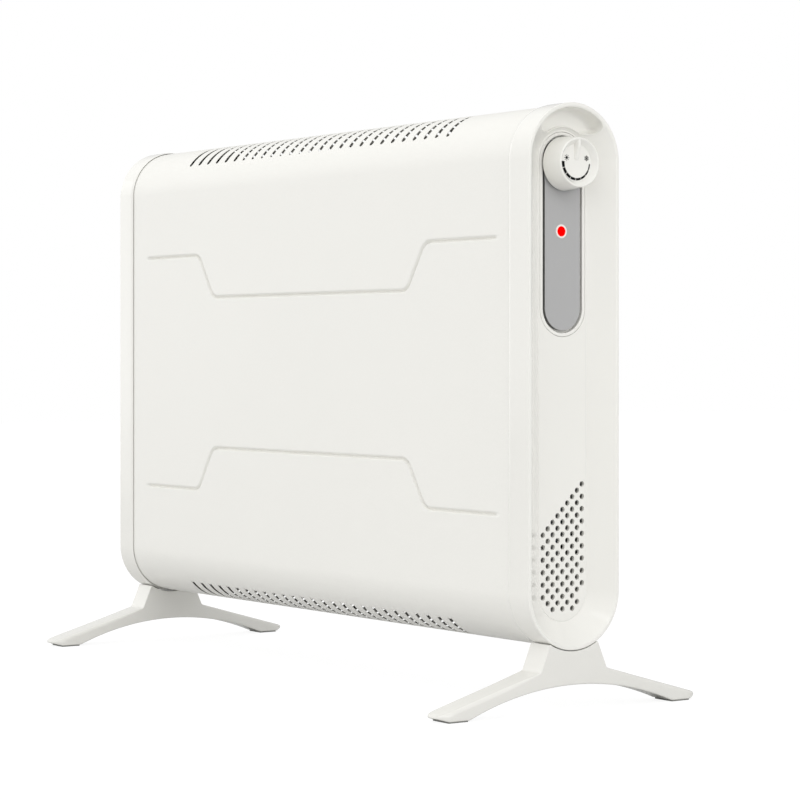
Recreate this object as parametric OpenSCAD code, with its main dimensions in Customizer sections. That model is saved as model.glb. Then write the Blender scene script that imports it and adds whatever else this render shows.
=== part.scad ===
// Portable convector heater: a wrap-around steel case between two plastic end caps, on two
// arched feet, with a thermostat knob and a lamp in the right end.
// Millimetres. +X runs towards the control end, -Y is the front, +Z is up, and Z = 0 is the floor.

/* [Case] */
// Width over the two end caps
case_w = 530; // [460:5:620]
// Height of the case, without the feet
case_h = 348; // [320:2:420]
// Depth of the case over the end caps
case_d = 73.4; // [68:0.2:84]
// Height of the case's underside above the floor
floor_gap = 39; // [36:0.5:52]
// Thickness of the steel sheet of the case
sheet_t = 1; // [0.8:0.1:1.4]
// How far the end caps stand proud of the steel sheet
cap_proud = 1.1; // [0.9:0.1:1.8]
// Number of flat steps in each round edge of the sheet
bend_steps = 30; // [18:1:45]

/* [Air slots] */
// Number of slots in each of the two rows
slot_count = 27; // [9:2:31]
// Distance from slot to slot
slot_pitch = 12.88; // [9:0.04:14]
// Width of one slot
slot_w = 4.2; // [2.4:0.1:5]
// Angle on the case's round edge at which the slots end
slot_angle = 34.9; // [25:0.1:45]

/* [Pressed grooves] */
// Height of the outer runs above and below the middle of the case
groove_outer_z = 88.4; // [70:0.2:100]
// Height of the inner run above and below the middle of the case
groove_inner_z = 56.4; // [30:0.2:64]
// Half length of the whole groove
groove_half = 225; // [190:1:226]
// Half length to the outer bend
groove_bend_outer = 149.4; // [140:0.2:165]
// Half length to the inner bend
groove_bend_inner = 126.2; // [100:0.2:130]
// How far the groove pattern sits towards the control end
groove_shift = 3.4; // [-6:0.2:6]
// Width of the groove
groove_w = 3; // [2:0.2:5]
// Depth of the groove in the sheet
groove_depth = 0.5; // [0.3:0.05:0.7]

/* [End caps] */
// Width of the cap's outer skirt
cap_w = 21; // [20:0.5:28]
// Wall thickness of the caps
cap_wall = 2.2; // [1.8:0.1:2.8]
// Length of the lip that laps over the sheet
cap_lap = 8; // [5:0.5:10]
// Clearance between the lip and the sheet
lap_gap = 0.15; // [0.1:0.05:0.4]
// Width of the flat rim
rim_w = 2.6; // [2:0.1:3.6]
// Size of the bevel on the rim's outer edge
rim_bevel = 0.6; // [0.5:0.1:1.6]
// Depth of the dish from the rim to the inner panel
dish_depth = 12.2; // [11:0.1:14]
// Width of the dish's sloping wall
dish_run = 14.7; // [13:0.1:15]
// Depth of the grip pocket behind the rim
pocket_depth = 12.6; // [11:0.1:13.5]
// Radius of the lip below the grip pocket
pocket_lip_r = 22.4; // [21.6:0.1:24]
// Half width of the grip pocket
pocket_half = 24.5; // [20:0.5:26]
// Height of the pocket's lower corners above the arc's centre
pocket_low = 18.2; // [15:0.2:20]
// Corner radius of the grip pocket
pocket_corner = 4; // [2:0.5:5]

/* [Vent holes] */
// Diameter of one hole
vent_d = 3.5; // [2.5:0.1:4]
// Distance between holes in one column
vent_pitch = 7.93; // [7.2:0.01:8.2]
// Number of columns
vent_cols = 9; // [5:2:9]
// Lowest row below the centre of the cap's lower arc
vent_drop = 11.4; // [6:0.2:12]
// Top hole of the first column, in half pitches above the lowest row
vent_first_top = 12; // [8:2:20]
// Lowest hole of the last column, in half pitches above the lowest row
vent_last_low = 4; // [0:2:8]

/* [Fascia] */
// Knob axis below the top of the case
knob_below_top = 38.4; // [36:0.2:42]
// Lamp below the knob axis
lamp_below_knob = 43.2; // [36:0.2:60]
// Upper arc centre of the fascia above the knob axis
fascia_rise = 2; // [0:0.2:3]
// Distance between the fascia's two arc centres
fascia_len = 94.2; // [80:0.2:110]
// Half width of the fascia tray's flange
fascia_flange_r = 18.2; // [17.4:0.1:18.6]
// Half width of the tray's well
fascia_well_r = 16; // [15:0.1:16.2]
// Half width of the grey plate
fascia_plate_r = 14.2; // [12.5:0.1:14.6]
// Depth of the tray behind the inner panel
tray_depth = 4.4; // [3.6:0.1:5]
// Thickness of the tray's flange
tray_flange_t = 0.9; // [0.8:0.1:1.2]
// Depth of the flange's seat in the inner panel
tray_sink = 0.8; // [0:0.1:0.8]
// Wall thickness of the tray
tray_wall = 0.8; // [0.6:0.1:1.2]

/* [Knob] */
// Radius of the knob at its base
knob_base_r = 17.4; // [16.5:0.1:18]
// Radius of the knob at its face
knob_face_r = 15.8; // [14.5:0.1:16.5]
// Length of the knob
knob_len = 16; // [15:0.5:20]
// Gap between the knob and the fascia
knob_gap = 1.6; // [0.5:0.1:2]
// Radius of the sunk disc in the face
disc_r = 11.8; // [10:0.1:12.5]
// Depth of the sunk disc
disc_sink = 3.6; // [2:0.1:4]
// Width of the pointer ridge
pointer_w = 5; // [3:0.2:6]
// Radius of the spindle
spindle_r = 3; // [2.5:0.1:3.5]

/* [Indicator lamp] */
// Distance of the lamp from the fascia's middle line, towards the front
lamp_off = 1.2; // [0:0.1:2]
// Radius of the lens
lens_r = 3.3; // [2.5:0.1:4]
// Radius of the bezel
bezel_r = 4.5; // [4.2:0.1:6]
// Height of the bezel above the grey plate
bezel_t = 0.5; // [0.4:0.1:1]
// Height of the lens's dome above the bezel's inner edge
lens_dome = 0.4; // [0.3:0.1:1]

/* [Feet] */
// Length of a foot from front to rear
foot_l = 210; // [180:2:240]
// Thickness of a foot
foot_t = 20; // [17:0.5:21]
// Half width of the block under the cap
foot_block_half = 19.5; // [16:0.5:22]
// Half width at the knee
foot_knee_half = 26.7; // [24:0.1:30]
// Height of the knee above the floor
foot_knee_z = 26.3; // [24:0.1:28]
// Height of the arm's top face near the tip
foot_tip_z = 5.4; // [4.4:0.1:6.5]
// Height of the arch at its middle
arch_z = 17; // [12:0.5:18]
// Half width of the arch at the floor
arch_half = 82; // [70:1:84]
// Gap between the foot and the cap
cradle_gap = 0.6; // [0.3:0.1:1]
// Thickness of the pads under the feet
pad_t = 0.9; // [0.6:0.1:1.5]

/* [Heating element] */
// Radius of the heating tube
tube_r = 4; // [3:0.5:5]
// Distance between the two runs of the tube
tube_pitch = 32; // [28:1:40]
// Height of the lower run above the case's underside
tube_rise = 101; // [90:1:120]
// Distance between fins
fin_pitch = 9; // [7:0.5:12]
// Thickness of a fin
fin_t = 0.6; // [0.4:0.1:0.8]
// Half depth of a fin
fin_half = 17; // [14:0.5:20]

/* [Inside] */
// Width of the control room at the right end, measured from the cap's edge
control_room = 43; // [40:1:50]
// Width of the wiring room at the left end
left_room = 29; // [28:1:36]
// Distance of the heat shields from the middle of the case
shield_y = 25.4; // [22:0.2:27]
// Thickness of the heat shields
shield_t = 0.6; // [0.5:0.1:0.8]
// Radius of the insulated wires
wire_r = 1.4; // [1.2:0.1:1.6]
// Radius of the bore of the cord gland
gland_bore_r = 3.6; // [3:0.1:4.2]

/* [Hidden] */
$fn = 96;

cut = 0.5;                               // how far a cutter runs past a face
fit = 0.05;                              // radial clearance of a pin or shaft in its hole

// Colours
ivory = [0.93, 0.925, 0.9];
cap_ivory = [0.945, 0.94, 0.915];
grey = [0.68, 0.68, 0.68];
zinc = [0.72, 0.73, 0.74];
steel = [0.6, 0.61, 0.63];
black = [0.1, 0.1, 0.1];

// Case
case_top = floor_gap + case_h;
cap_r = case_d / 2;
arc_top_z = case_top - cap_r;
arc_low_z = floor_gap + cap_r;
mid_z = floor_gap + case_h / 2;
rim_x = case_w / 2;
seam_x = rim_x - cap_w;
step_x = seam_x + cap_lap;
sheet_end_x = step_x - 0.2;
sheet_r = cap_r - cap_proud;
sheet_in_r = sheet_r - sheet_t;
flange_z = 15;                           // flat rear flange of the wrap-around sheet
panel_y = sheet_in_r;                    // outer face of the rear panel
panel_in_y = panel_y - sheet_t;
panel_lap = 11.5;                        // how far the panel reaches behind the flange
knob_face_x = rim_x - dish_depth - tray_sink + tray_flange_t + knob_gap + knob_len;
centre_shift = -(knob_face_x - rim_x) / 2;   // puts the origin under the middle of the width

// End cap
floor_x = rim_x - dish_depth;            // outer face of the inner panel
floor_r = cap_r - rim_w - dish_run;
wall_slant = sqrt(pow(dish_run, 2) + pow(dish_depth, 2));
wall_back = cap_wall * wall_slant / dish_depth;
skirt_in_r = sheet_r + lap_gap;
body_in_r = cap_r - cap_wall - 0.3;
pocket_r = cap_r - rim_w - 0.3;
pocket_wall = 1.5;
pocket_start = 2.4;                      // where the pocket's wall begins behind the rim
vent_margin = 0.15;                      // least land between a vent hole and the panel's edge
tab_x = 22;                              // reach of a screw tab from the cap's step
tab_w = 16;
tab_t = 2.6;
tab_root = 4;                            // how far a tab's root runs in from the step
tab_spread = 0.68;                       // share of the straight side between the outer tabs
tab_screw_x = step_x - 16;
tab_z = [for (i = [-1, 0, 1]) mid_z + i * (case_h / 2 - cap_r) * tab_spread];

// Control side
knob_z = case_top - knob_below_top;
lamp_z = knob_z - lamp_below_knob;
lamp_y = -lamp_off;
fascia_top_z = knob_z + fascia_rise;
fascia_low_z = fascia_top_z - fascia_len;
flange_back_x = floor_x - tray_sink;
flange_face_x = flange_back_x + tray_flange_t;
flange_gap = 0.4;
tray_back_x = floor_x - tray_depth;
plate_sink = 0.1;
plate_face_x = flange_face_x - plate_sink;
plate_back_x = tray_back_x + tray_wall;
bush_r = 5;
knob_back_x = flange_face_x + knob_gap;
hub_r = 5.6;
hub_back_x = knob_back_x + 3;
knob_wall = 1.8;
cavity_x = knob_face_x - disc_sink - 2.4;
spindle_tip_x = cavity_x - 0.2;
thermo_plate_t = 1.2;
thermo_face_x = tray_back_x;
thermo_w = 22;
thermo_h = 22;
thermo_depth = 20;
thermo_rim = 2;                          // how far the steel plate shows round the housing
bush_reach = 3;                          // length of the threaded bush in front of the grey plate
nut_t = 2.2;
spindle_in = 4;                          // length of the spindle inside the thermostat
thermo_back_x = thermo_face_x - thermo_plate_t - thermo_depth;
spade_w = 5;
spade_t = 0.8;
spade_l = 6;
thermo_spade_x = thermo_back_x + 6;
thermo_spade_y = 6;
thermo_spade_z = knob_z - thermo_h / 2 - spade_l;
lamp_body_r = 3.2;
lamp_body_x = tray_back_x - 14;

// Screws
screw_r = 1.5;
screw_head_r = 3.4;
screw_head_t = 1.8;

// Heating element
right_plate_x = seam_x - control_room;   // hot side of the right side plate
left_plate_x = -(seam_x - left_room);    // hot side of the left side plate
plate_top_z = arc_top_z - 8;
plate_low_z = arc_low_z + 8;
plate_trim = 6;                          // how far a side plate stops short of these heights
side_flange = 10;
low_run_z = floor_gap + tube_rise;
high_run_z = low_run_z + tube_pitch;
shield_low_z = low_run_z - 40;
shield_top_z = plate_top_z - 18;
shield_tab_rise = 8;
shield_tab_h = 20;
bend_x = left_plate_x + 34;
tube_end_x = right_plate_x + 12;
bracket_half = 14;
finger_half = 7;
pin_l = 10;
pin_r = 1.5;
fin_start_x = bend_x + 10;
fin_end_x = right_plate_x - 12;
fin_over = 14;
fin_count = floor((fin_end_x - fin_start_x) / fin_pitch) + 1;
bush_neck_r = tube_r + 2.8;
bush_flange_r = tube_r + 5;
bush_flange_t = 4;
bush_neck_l = 3;                         // length of a bush's neck on the hot side
cutout_z = mid_z + 49;
cutout_r = 8;
cutout_end_x = right_plate_x + 6;
cutout_spade_y = 5;
cutout_flange = [1, 13, 6];              // its thickness and its half width and half height
room_x = right_plate_x + sheet_t;        // control side of the right side plate
block_z = plate_low_z + 14;
block_h = 16;
block_d = 13;
block_way = 10;
block_y = [for (i = [-1, 0, 1]) 3 + i * block_way];
block_x = room_x + block_d / 2;
earth_y = -20;
earth_z = shield_low_z + shield_tab_rise + shield_tab_h + screw_r + 2.2;
earth_wire_x = room_x + wire_r + 0.6;     // wire held under the screw's head, clear of the plate
gland_x = room_x + side_flange + 8.6;
gland_neck_r = gland_bore_r + 2.8;
gland_flange_r = gland_neck_r + 3;
gland_z = arc_low_z + flange_z + gland_flange_r + 2;
gland_flange_t = 2.4;
gland_nut_r = gland_neck_r + 1.6;
gland_nut_t = 4;
gland_in_y = panel_in_y - gland_nut_t - 1;   // inner end of the gland's neck

// Feet
foot_out_x = rim_x - 0.1;
foot_in_x = foot_out_x - foot_t;
foot_mid_x = foot_out_x - foot_t / 2;
tip_r = foot_t / 2;
arch_r = (pow(arch_half, 2) + pow(arch_z - pad_t, 2)) / (2 * (arch_z - pad_t));
cradle_r = cap_r + cradle_gap;
foot_land = 0.8;                         // flat land beside the cradle
block_top_z = arc_low_z - sqrt(pow(cradle_r, 2) - pow(foot_block_half - foot_land, 2));
foot_screw_x = floor_x + 3.2;
foot_screw_y = 9;
foot_screw_r = 1.9;
foot_head_z = arch_z + 7;
foot_boss_z = floor_gap + 9;
foot_seat_r = 4.6;
foot_head_t = 2.4;
pad_l = 14.6;
pad_w = 17;
pad_y = arch_half + 0.7 + pad_l / 2;

// Fasteners of the rear panel
panel_screw_x = [for (i = [-2 : 2]) i * (left_plate_x + 24) / 2];
panel_screw_z = flange_z * 0.62;

// Shapes used by several pieces

function unit(v) = v / norm(v);

// Moves a piece from the middle of the case to the part's own origin
module in_part() { translate([centre_shift, 0, 0]) children(); }

// Extrudes a drawing of Y and Z along X, from x1 to x2
module along_x(x1, x2) {
    translate([x1, 0, 0]) rotate([90, 0, 90]) linear_extrude(x2 - x1) children();
}

// Extrudes a drawing of X and Z along Y, from y1 to y2
module along_y(y1, y2) {
    translate([0, y2, 0]) rotate([90, 0, 0]) linear_extrude(y2 - y1) children();
}

// A box from one corner to the other
module block(low, high) { translate(low) cube(high - low); }

// A rod along X
module rod_x(r, x1, x2, y, z, facets = 48) {
    translate([x1, y, z]) rotate([0, 90, 0]) cylinder(r = r, h = x2 - x1, $fn = facets);
}

// A rod along Y
module rod_y(r, y1, y2, x, z, facets = 48) {
    translate([x, y1, z]) rotate([-90, 0, 0]) cylinder(r = r, h = y2 - y1, $fn = facets);
}

// Outline with straight sides and round ends, in Y and Z
module stadium(r, low_z, top_z) {
    translate([0, low_z]) circle(r);
    translate([0, top_z]) circle(r);
    translate([-r, low_z]) square([2 * r, top_z - low_z]);
}

// A section of [radius, x] points, swept round an outline with round ends
module round_end(section, low_z, top_z) {
    for (upper = [false, true])
        translate([0, 0, upper ? top_z : low_z])
            rotate([0, 90, 0]) rotate([0, 0, upper ? 90 : -90])
                rotate_extrude(angle = 180) polygon(section);
    translate([0, 0, low_z])
        linear_extrude(top_z - low_z)
            for (side = [-1, 1])
                polygon([for (p = section) [p[1], side * p[0]]]);
}

// Mirrors a piece to the left end as well as the right
module both_ends() {
    for (end = [0, 1]) mirror([end, 0, 0]) children();
}

// Pan head screw along Y: the head's seat is at y and the shank runs to y_tip
module screw_y(x, y, z, y_tip) {
    rod_y(screw_head_r, y, y + screw_head_t, x, z);
    rod_y(screw_r, y_tip, y + cut, x, z);
}

// Case

// One air slot, seen from the front, cut through the sheet's round edge
module slot_cutters() {
    slot_z = sheet_r * sin(slot_angle);
    for (i = [0 : slot_count - 1], upper = [false, true]) {
        x = (i - (slot_count - 1) / 2) * slot_pitch;
        end_z = upper ? arc_top_z + slot_z + slot_w / 2 : arc_low_z - slot_z - slot_w / 2;
        far_z = upper ? case_top + cut : floor_gap - cut;
        along_y(-cap_r, cap_r) {
            translate([x, end_z]) circle(slot_w / 2, $fn = 32);
            translate([x - slot_w / 2, min(end_z, far_z)]) square([slot_w, abs(far_z - end_z)]);
        }
    }
}

// Left-hand normal of the stretch of a line that ends at point i
function side_way(line, i) =
    let (way = unit(line[i] - line[i - 1])) [-way[1], way[0]];

// Shift from point i of a line to the mitred edge of a band along it
function mitre(line, i) =
    let (last = len(line) - 1, before = side_way(line, max(i, 1)), after = side_way(line, min(i + 1, last)))
    (before + after) / (1 + before * after);

// Pressed groove on the front, as a band along a bent line with round ends
module groove_band() {
    line = [
        [-groove_half, groove_outer_z], [-groove_bend_outer, groove_outer_z],
        [-groove_bend_inner, groove_inner_z], [groove_bend_inner, groove_inner_z],
        [groove_bend_outer, groove_outer_z], [groove_half, groove_outer_z]
    ];
    last = len(line) - 1;
    edge = groove_w / 2;
    polygon(concat(
        [for (i = [0 : last]) line[i] + edge * mitre(line, i)],
        [for (i = [last : -1 : 0]) line[i] - edge * mitre(line, i)]));
    for (p = [line[0], line[last]]) translate(p) circle(edge, $fn = 32);
}

// Outline of the sheet's side, its round edges bent in small flat steps
module bent_outline(r) {
    polygon([for (upper = [true, false], i = [0 : bend_steps])
        let (angle = (upper ? 0 : 180) + i * 180 / bend_steps)
        [r * cos(angle), (upper ? arc_top_z : arc_low_z) + r * sin(angle)]]);
}

module front_shell() {
    color(ivory) in_part() difference() {
        along_x(-sheet_end_x, sheet_end_x) difference() {
            bent_outline(sheet_r);
            bent_outline(sheet_in_r);
            translate([sheet_in_r - cut, arc_low_z + flange_z])
                square([sheet_t + 2 * cut, arc_top_z - arc_low_z - 2 * flange_z]);
        }
        slot_cutters();
        for (side = [-1, 1])
            translate([groove_shift, 0, mid_z])
                along_y(-sheet_r - cut, -sheet_r + groove_depth)
                    scale([1, side]) groove_band();
        for (x = panel_screw_x, z = [arc_low_z + panel_screw_z, arc_top_z - panel_screw_z])
            rod_y(screw_r + fit, panel_in_y, sheet_r + cut, x, z);
    }
}

module rear_panel() {
    color(ivory) in_part() difference() {
        block([-sheet_end_x, panel_in_y, arc_low_z + flange_z - panel_lap],
              [sheet_end_x, panel_y, arc_top_z - flange_z + panel_lap]);
        for (x = panel_screw_x, z = [arc_low_z + panel_screw_z, arc_top_z - panel_screw_z])
            rod_y(screw_r + fit, panel_in_y - cut, panel_y + cut, x, z);
        for (side = [-1, 1], z = tab_z)
            rod_y(screw_r + fit, panel_in_y - cut, panel_y + cut, side * tab_screw_x, z);
        rod_y(gland_neck_r + 2 * fit, panel_in_y - cut, panel_y + cut, gland_x, gland_z);
    }
}

// End caps

// Section of a cap: skirt with its lap, bevelled rim, sloping wall and inner panel
cap_section = [
    [0, floor_x], [floor_r, floor_x], [cap_r - rim_w, rim_x], [cap_r - rim_bevel, rim_x],
    [cap_r - rim_bevel * 0.3, rim_x - rim_bevel * 0.3], [cap_r, rim_x - rim_bevel], [cap_r, seam_x],
    [skirt_in_r, seam_x], [skirt_in_r, step_x], [body_in_r, step_x],
    [body_in_r, floor_x + (body_in_r - floor_r - wall_back) * dish_depth / dish_run],
    [floor_r + wall_back - cap_wall * dish_run / dish_depth, floor_x - cap_wall],
    [0, floor_x - cap_wall]
];

// Outline of the grip pocket, in Y and Z about the arc's centre
module pocket_outline(grow = 0) {
    difference() {
        intersection() {
            circle(pocket_r + min(grow, 0.6));
            union() {
                for (side = [-1, 1])
                    translate([side * (pocket_half - pocket_corner), pocket_low + pocket_corner])
                        circle(pocket_corner + grow, $fn = 48);
                translate([-pocket_half + pocket_corner, pocket_low - grow])
                    square([2 * (pocket_half - pocket_corner), cap_r]);
                translate([-pocket_half - grow, pocket_low + pocket_corner])
                    square([2 * (pocket_half + grow), cap_r]);
            }
        }
        circle(pocket_lip_r - grow);
    }
}

// Body of a cap with its dish, pocket, screw tabs and the bosses for the foot's screws
module cap_body() {
    difference() {
        union() {
            round_end(cap_section, arc_low_z, arc_top_z);
            translate([0, 0, arc_top_z])
                along_x(rim_x - pocket_depth - cap_wall * 0.7, rim_x - pocket_start) pocket_outline(pocket_wall);
            for (z = tab_z) {
                block([step_x - tab_x, panel_in_y - tab_t, z - tab_w / 2],
                      [step_x + tab_root, panel_in_y, z + tab_w / 2]);
                block([step_x + 0.1, panel_in_y - tab_t, z - tab_w / 2],
                      [step_x + tab_root, body_in_r + 0.8, z + tab_w / 2]);
            }
            for (side = [-1, 1])
                translate([foot_screw_x, side * foot_screw_y, floor_gap + cap_wall])
                    cylinder(r = foot_screw_r + 1.4, h = foot_boss_z - floor_gap - cap_wall, $fn = 48);
        }
        translate([0, 0, arc_top_z])
            along_x(rim_x - pocket_depth, rim_x + cut) pocket_outline();
        for (z = tab_z)
            rod_y(screw_r + fit, panel_in_y - tab_t - cut, panel_in_y + cut, tab_screw_x, z);
        for (side = [-1, 1])
            translate([foot_screw_x, side * foot_screw_y, floor_gap - cut])
                cylinder(r = foot_screw_r + fit, h = foot_boss_z - floor_gap + cut - 0.8, $fn = 48);
    }
}

// Vent holes in the inner panel: a square grid turned by 45 degrees, with a slanting top edge
module vent_cutters() {
    half_pitch = vent_pitch / 2;
    for (col = [0 : vent_cols - 1], row = [0 : vent_first_top + col]) {
        low_row = col == vent_cols - 1 ? vent_last_low : 0;
        y = (col - (vent_cols - 1) / 2) * half_pitch;
        z = arc_low_z - vent_drop + row * half_pitch;
        edge = norm([y, min(z - arc_low_z, 0)]) + vent_d / 2;
        if (row >= low_row && (col + row) % 2 == 0 && edge < floor_r - vent_margin)
            rod_x(vent_d / 2, floor_x - cap_wall - cut, floor_x + cut, y, z, 32);
    }
}

module end_cap_right() {
    color(cap_ivory) in_part() difference() {
        cap_body();
        vent_cutters();
        along_x(floor_x - cap_wall - cut, floor_x + cut)
            stadium(fascia_well_r + tray_wall, fascia_low_z, fascia_top_z);
        along_x(flange_back_x, floor_x + cut)
            stadium(fascia_flange_r + flange_gap, fascia_low_z, fascia_top_z);
    }
}

module end_cap_left() {
    color(cap_ivory) in_part() mirror([1, 0, 0]) difference() {
        cap_body();
        vent_cutters();
    }
}

// Controls

// White tray that frames the grey plate, let into the cap's inner panel
module fascia_tray() {
    color(cap_ivory) in_part() difference() {
        union() {
            along_x(flange_back_x, flange_face_x) stadium(fascia_flange_r, fascia_low_z, fascia_top_z);
            along_x(tray_back_x, flange_back_x + cut / 2)
                stadium(fascia_well_r + tray_wall - fit, fascia_low_z, fascia_top_z);
        }
        along_x(plate_back_x, flange_face_x + cut) stadium(fascia_well_r, fascia_low_z, fascia_top_z);
        rod_x(bush_r + fit, tray_back_x - cut, plate_back_x + cut, 0, knob_z);
        rod_x(lamp_body_r + fit, tray_back_x - cut, plate_back_x + cut, lamp_y, lamp_z);
    }
}

module fascia_plate() {
    color(grey) in_part() difference() {
        along_x(plate_back_x, plate_face_x) stadium(fascia_plate_r, fascia_low_z, fascia_top_z);
        rod_x(bush_r + fit, plate_back_x - cut, plate_face_x + cut, 0, knob_z);
        rod_x(lamp_body_r + fit, plate_back_x - cut, plate_face_x + cut, lamp_y, lamp_z);
    }
}

// Knob: a hollow cone with a sunk face, a hub for the spindle and a pointer ridge
module control_knob() {
    lip = 0.8;
    knob_section = [
        [hub_r, hub_back_x], [hub_r, cavity_x], [knob_face_r - knob_wall - 1, cavity_x],
        [knob_base_r - knob_wall, knob_back_x], [knob_base_r, knob_back_x],
        [knob_face_r, knob_face_x - lip], [knob_face_r - lip, knob_face_x],
        [disc_r, knob_face_x - disc_sink], [0, knob_face_x - disc_sink], [0, cavity_x],
        [spindle_r + fit, cavity_x], [spindle_r + fit, hub_back_x]
    ];
    color(cap_ivory) in_part() translate([0, 0, knob_z]) {
        rotate([0, 90, 0]) rotate_extrude() polygon(knob_section);
        intersection() {
            translate([knob_face_x - disc_sink - 0.5, 0, -0.5])
                linear_extrude(knob_face_r - lip - 0.5)
                    polygon([[0, -pointer_w / 2], [disc_sink + 0.5, -pointer_w / 10],
                             [disc_sink + 0.5, pointer_w / 10], [0, pointer_w / 2]]);
            along_y(-pointer_w, pointer_w)
                polygon([[knob_face_x - disc_sink - 0.5, -0.5], [knob_face_x - disc_sink + 0.2, -0.5],
                         [knob_face_x - 0.2, knob_face_r * 0.75], [knob_face_x - 0.2, knob_face_r],
                         [knob_face_x - disc_sink - 0.5, knob_face_r]]);
        }
    }
}

module thermostat_spindle() {
    color(zinc) in_part()
        rod_x(spindle_r, thermo_face_x - spindle_in, spindle_tip_x, 0, knob_z);
}

// Thermostat: moulded block on a steel plate, with a threaded bush and two spade terminals
module thermostat_body() {
    color([0.3, 0.28, 0.26]) in_part() difference() {
        union() {
            block([thermo_face_x - thermo_plate_t, -thermo_w / 2 - thermo_rim, knob_z - thermo_h / 2 - thermo_rim],
                  [thermo_face_x, thermo_w / 2 + thermo_rim, knob_z + thermo_h / 2 + thermo_rim]);
            block([thermo_back_x, -thermo_w / 2, knob_z - thermo_h / 2],
                  [thermo_face_x - thermo_plate_t, thermo_w / 2, knob_z + thermo_h / 2]);
            rod_x(bush_r, thermo_face_x - 1, plate_face_x + bush_reach, 0, knob_z);
            for (side = [-1, 1])
                block([thermo_spade_x - spade_w / 2, side * thermo_spade_y - spade_t / 2, thermo_spade_z],
                      [thermo_spade_x + spade_w / 2, side * thermo_spade_y + spade_t / 2,
                       knob_z - thermo_h / 4]);
        }
        rod_x(spindle_r + fit, thermo_face_x - spindle_in - 0.2, plate_face_x + bush_reach + cut, 0, knob_z);
    }
}

module thermostat_nut() {
    color(zinc) in_part() difference() {
        rod_x(bush_r + 3, plate_face_x, plate_face_x + nut_t, 0, knob_z, 6);
        rod_x(bush_r + fit, plate_face_x - cut, plate_face_x + nut_t + cut, 0, knob_z);
    }
}

module indicator_bezel() {
    color(cap_ivory) in_part() difference() {
        rod_x(bezel_r, plate_face_x, plate_face_x + bezel_t, lamp_y, lamp_z);
        rod_x(lens_r + fit, plate_face_x - cut, plate_face_x + bezel_t + cut, lamp_y, lamp_z);
    }
}

// Lens: a red window with a low dome
module indicator_lens() {
    dome_r = (pow(lens_r, 2) + pow(lens_dome, 2)) / (2 * lens_dome);
    color([0.95, 0.02, 0.02]) in_part() intersection() {
        rod_x(lens_r, plate_face_x, plate_face_x + bezel_t + lens_dome + cut, lamp_y, lamp_z);
        translate([plate_face_x + bezel_t + lens_dome - dome_r, lamp_y, lamp_z]) sphere(dome_r, $fn = 240);
    }
}

module indicator_lamp() {
    color([0.85, 0.8, 0.75]) in_part() {
        rod_x(lamp_body_r, lamp_body_x, plate_face_x, lamp_y, lamp_z);
        rod_x(lamp_body_r + 1.2, tray_back_x - 1.2, tray_back_x, lamp_y, lamp_z);
    }
}

// Inner structure

// Side plate with a flange along the front sheet and one along the rear panel
module side_plate(hot_x, direction) {
    low = min(hot_x, hot_x + direction * sheet_t);
    flange_low = min(hot_x, hot_x + direction * (sheet_t + side_flange));
    flange_high = max(hot_x, hot_x + direction * (sheet_t + side_flange));
    block([low, -sheet_in_r, plate_low_z + plate_trim], [low + sheet_t, panel_in_y, plate_top_z - plate_trim]);
    block([flange_low, -sheet_in_r, plate_low_z + plate_trim],
          [flange_high, -sheet_in_r + sheet_t, plate_top_z - plate_trim]);
    block([flange_low, panel_in_y - sheet_t, plate_low_z + plate_trim],
          [flange_high, panel_in_y, plate_top_z - plate_trim]);
}

module side_plate_right() {
    color(zinc) in_part() difference() {
        side_plate(right_plate_x, 1);
        for (z = [low_run_z, high_run_z])
            rod_x(bush_neck_r + fit, right_plate_x - cut, room_x + cut, 0, z);
        rod_x(cutout_r + 2 * fit, right_plate_x - cut, room_x + cut, 0, cutout_z);
        rod_x(screw_r + fit, right_plate_x - cut, room_x + cut, earth_y, earth_z);
    }
}

module side_plate_left() {
    color(zinc) in_part() side_plate(left_plate_x, -1);
}

// Heat shield between the two side plates, with a folded tab at each end
module heat_shield(side) {
    inner_y = side * shield_y;
    outer_y = side * (shield_y + shield_t);
    tab_y = side * (shield_y - 8);
    tab_z = [shield_low_z + shield_tab_rise, shield_top_z - shield_tab_rise - shield_tab_h];
    block([left_plate_x, min(inner_y, outer_y), shield_low_z],
          [right_plate_x, max(inner_y, outer_y), shield_top_z]);
    for (z = tab_z, x = [left_plate_x, right_plate_x - shield_t])
        block([x, min(tab_y, outer_y), z], [x + shield_t, max(tab_y, outer_y), z + shield_tab_h]);
}

module heat_shield_front() { color(zinc) in_part() heat_shield(-1); }

module heat_shield_rear() { color(zinc) in_part() heat_shield(1); }

// Hairpin heating tube: two straight runs and a bend at the left
module heating_tube() {
    color(steel) in_part() {
        for (z = [low_run_z, high_run_z]) rod_x(tube_r, bend_x, tube_end_x, 0, z);
        translate([bend_x, 0, (low_run_z + high_run_z) / 2])
            rotate([90, 0, 0]) rotate([0, 0, 90]) rotate_extrude(angle = 180)
                translate([tube_pitch / 2, 0]) circle(tube_r, $fn = 48);
    }
}

module heating_fins() {
    color([0.78, 0.79, 0.8]) in_part()
        for (i = [0 : fin_count - 1]) {
            x = fin_start_x + i * fin_pitch;
            difference() {
                block([x, -fin_half, low_run_z - fin_over], [x + fin_t, fin_half, high_run_z + fin_over]);
                for (z = [low_run_z, high_run_z]) rod_x(tube_r + fit, x - cut, x + fin_t + cut, 0, z);
            }
        }
}

module terminal_pins() {
    color(steel) in_part()
        for (z = [low_run_z, high_run_z]) rod_x(pin_r, tube_end_x, tube_end_x + pin_l, 0, z);
}

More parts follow.
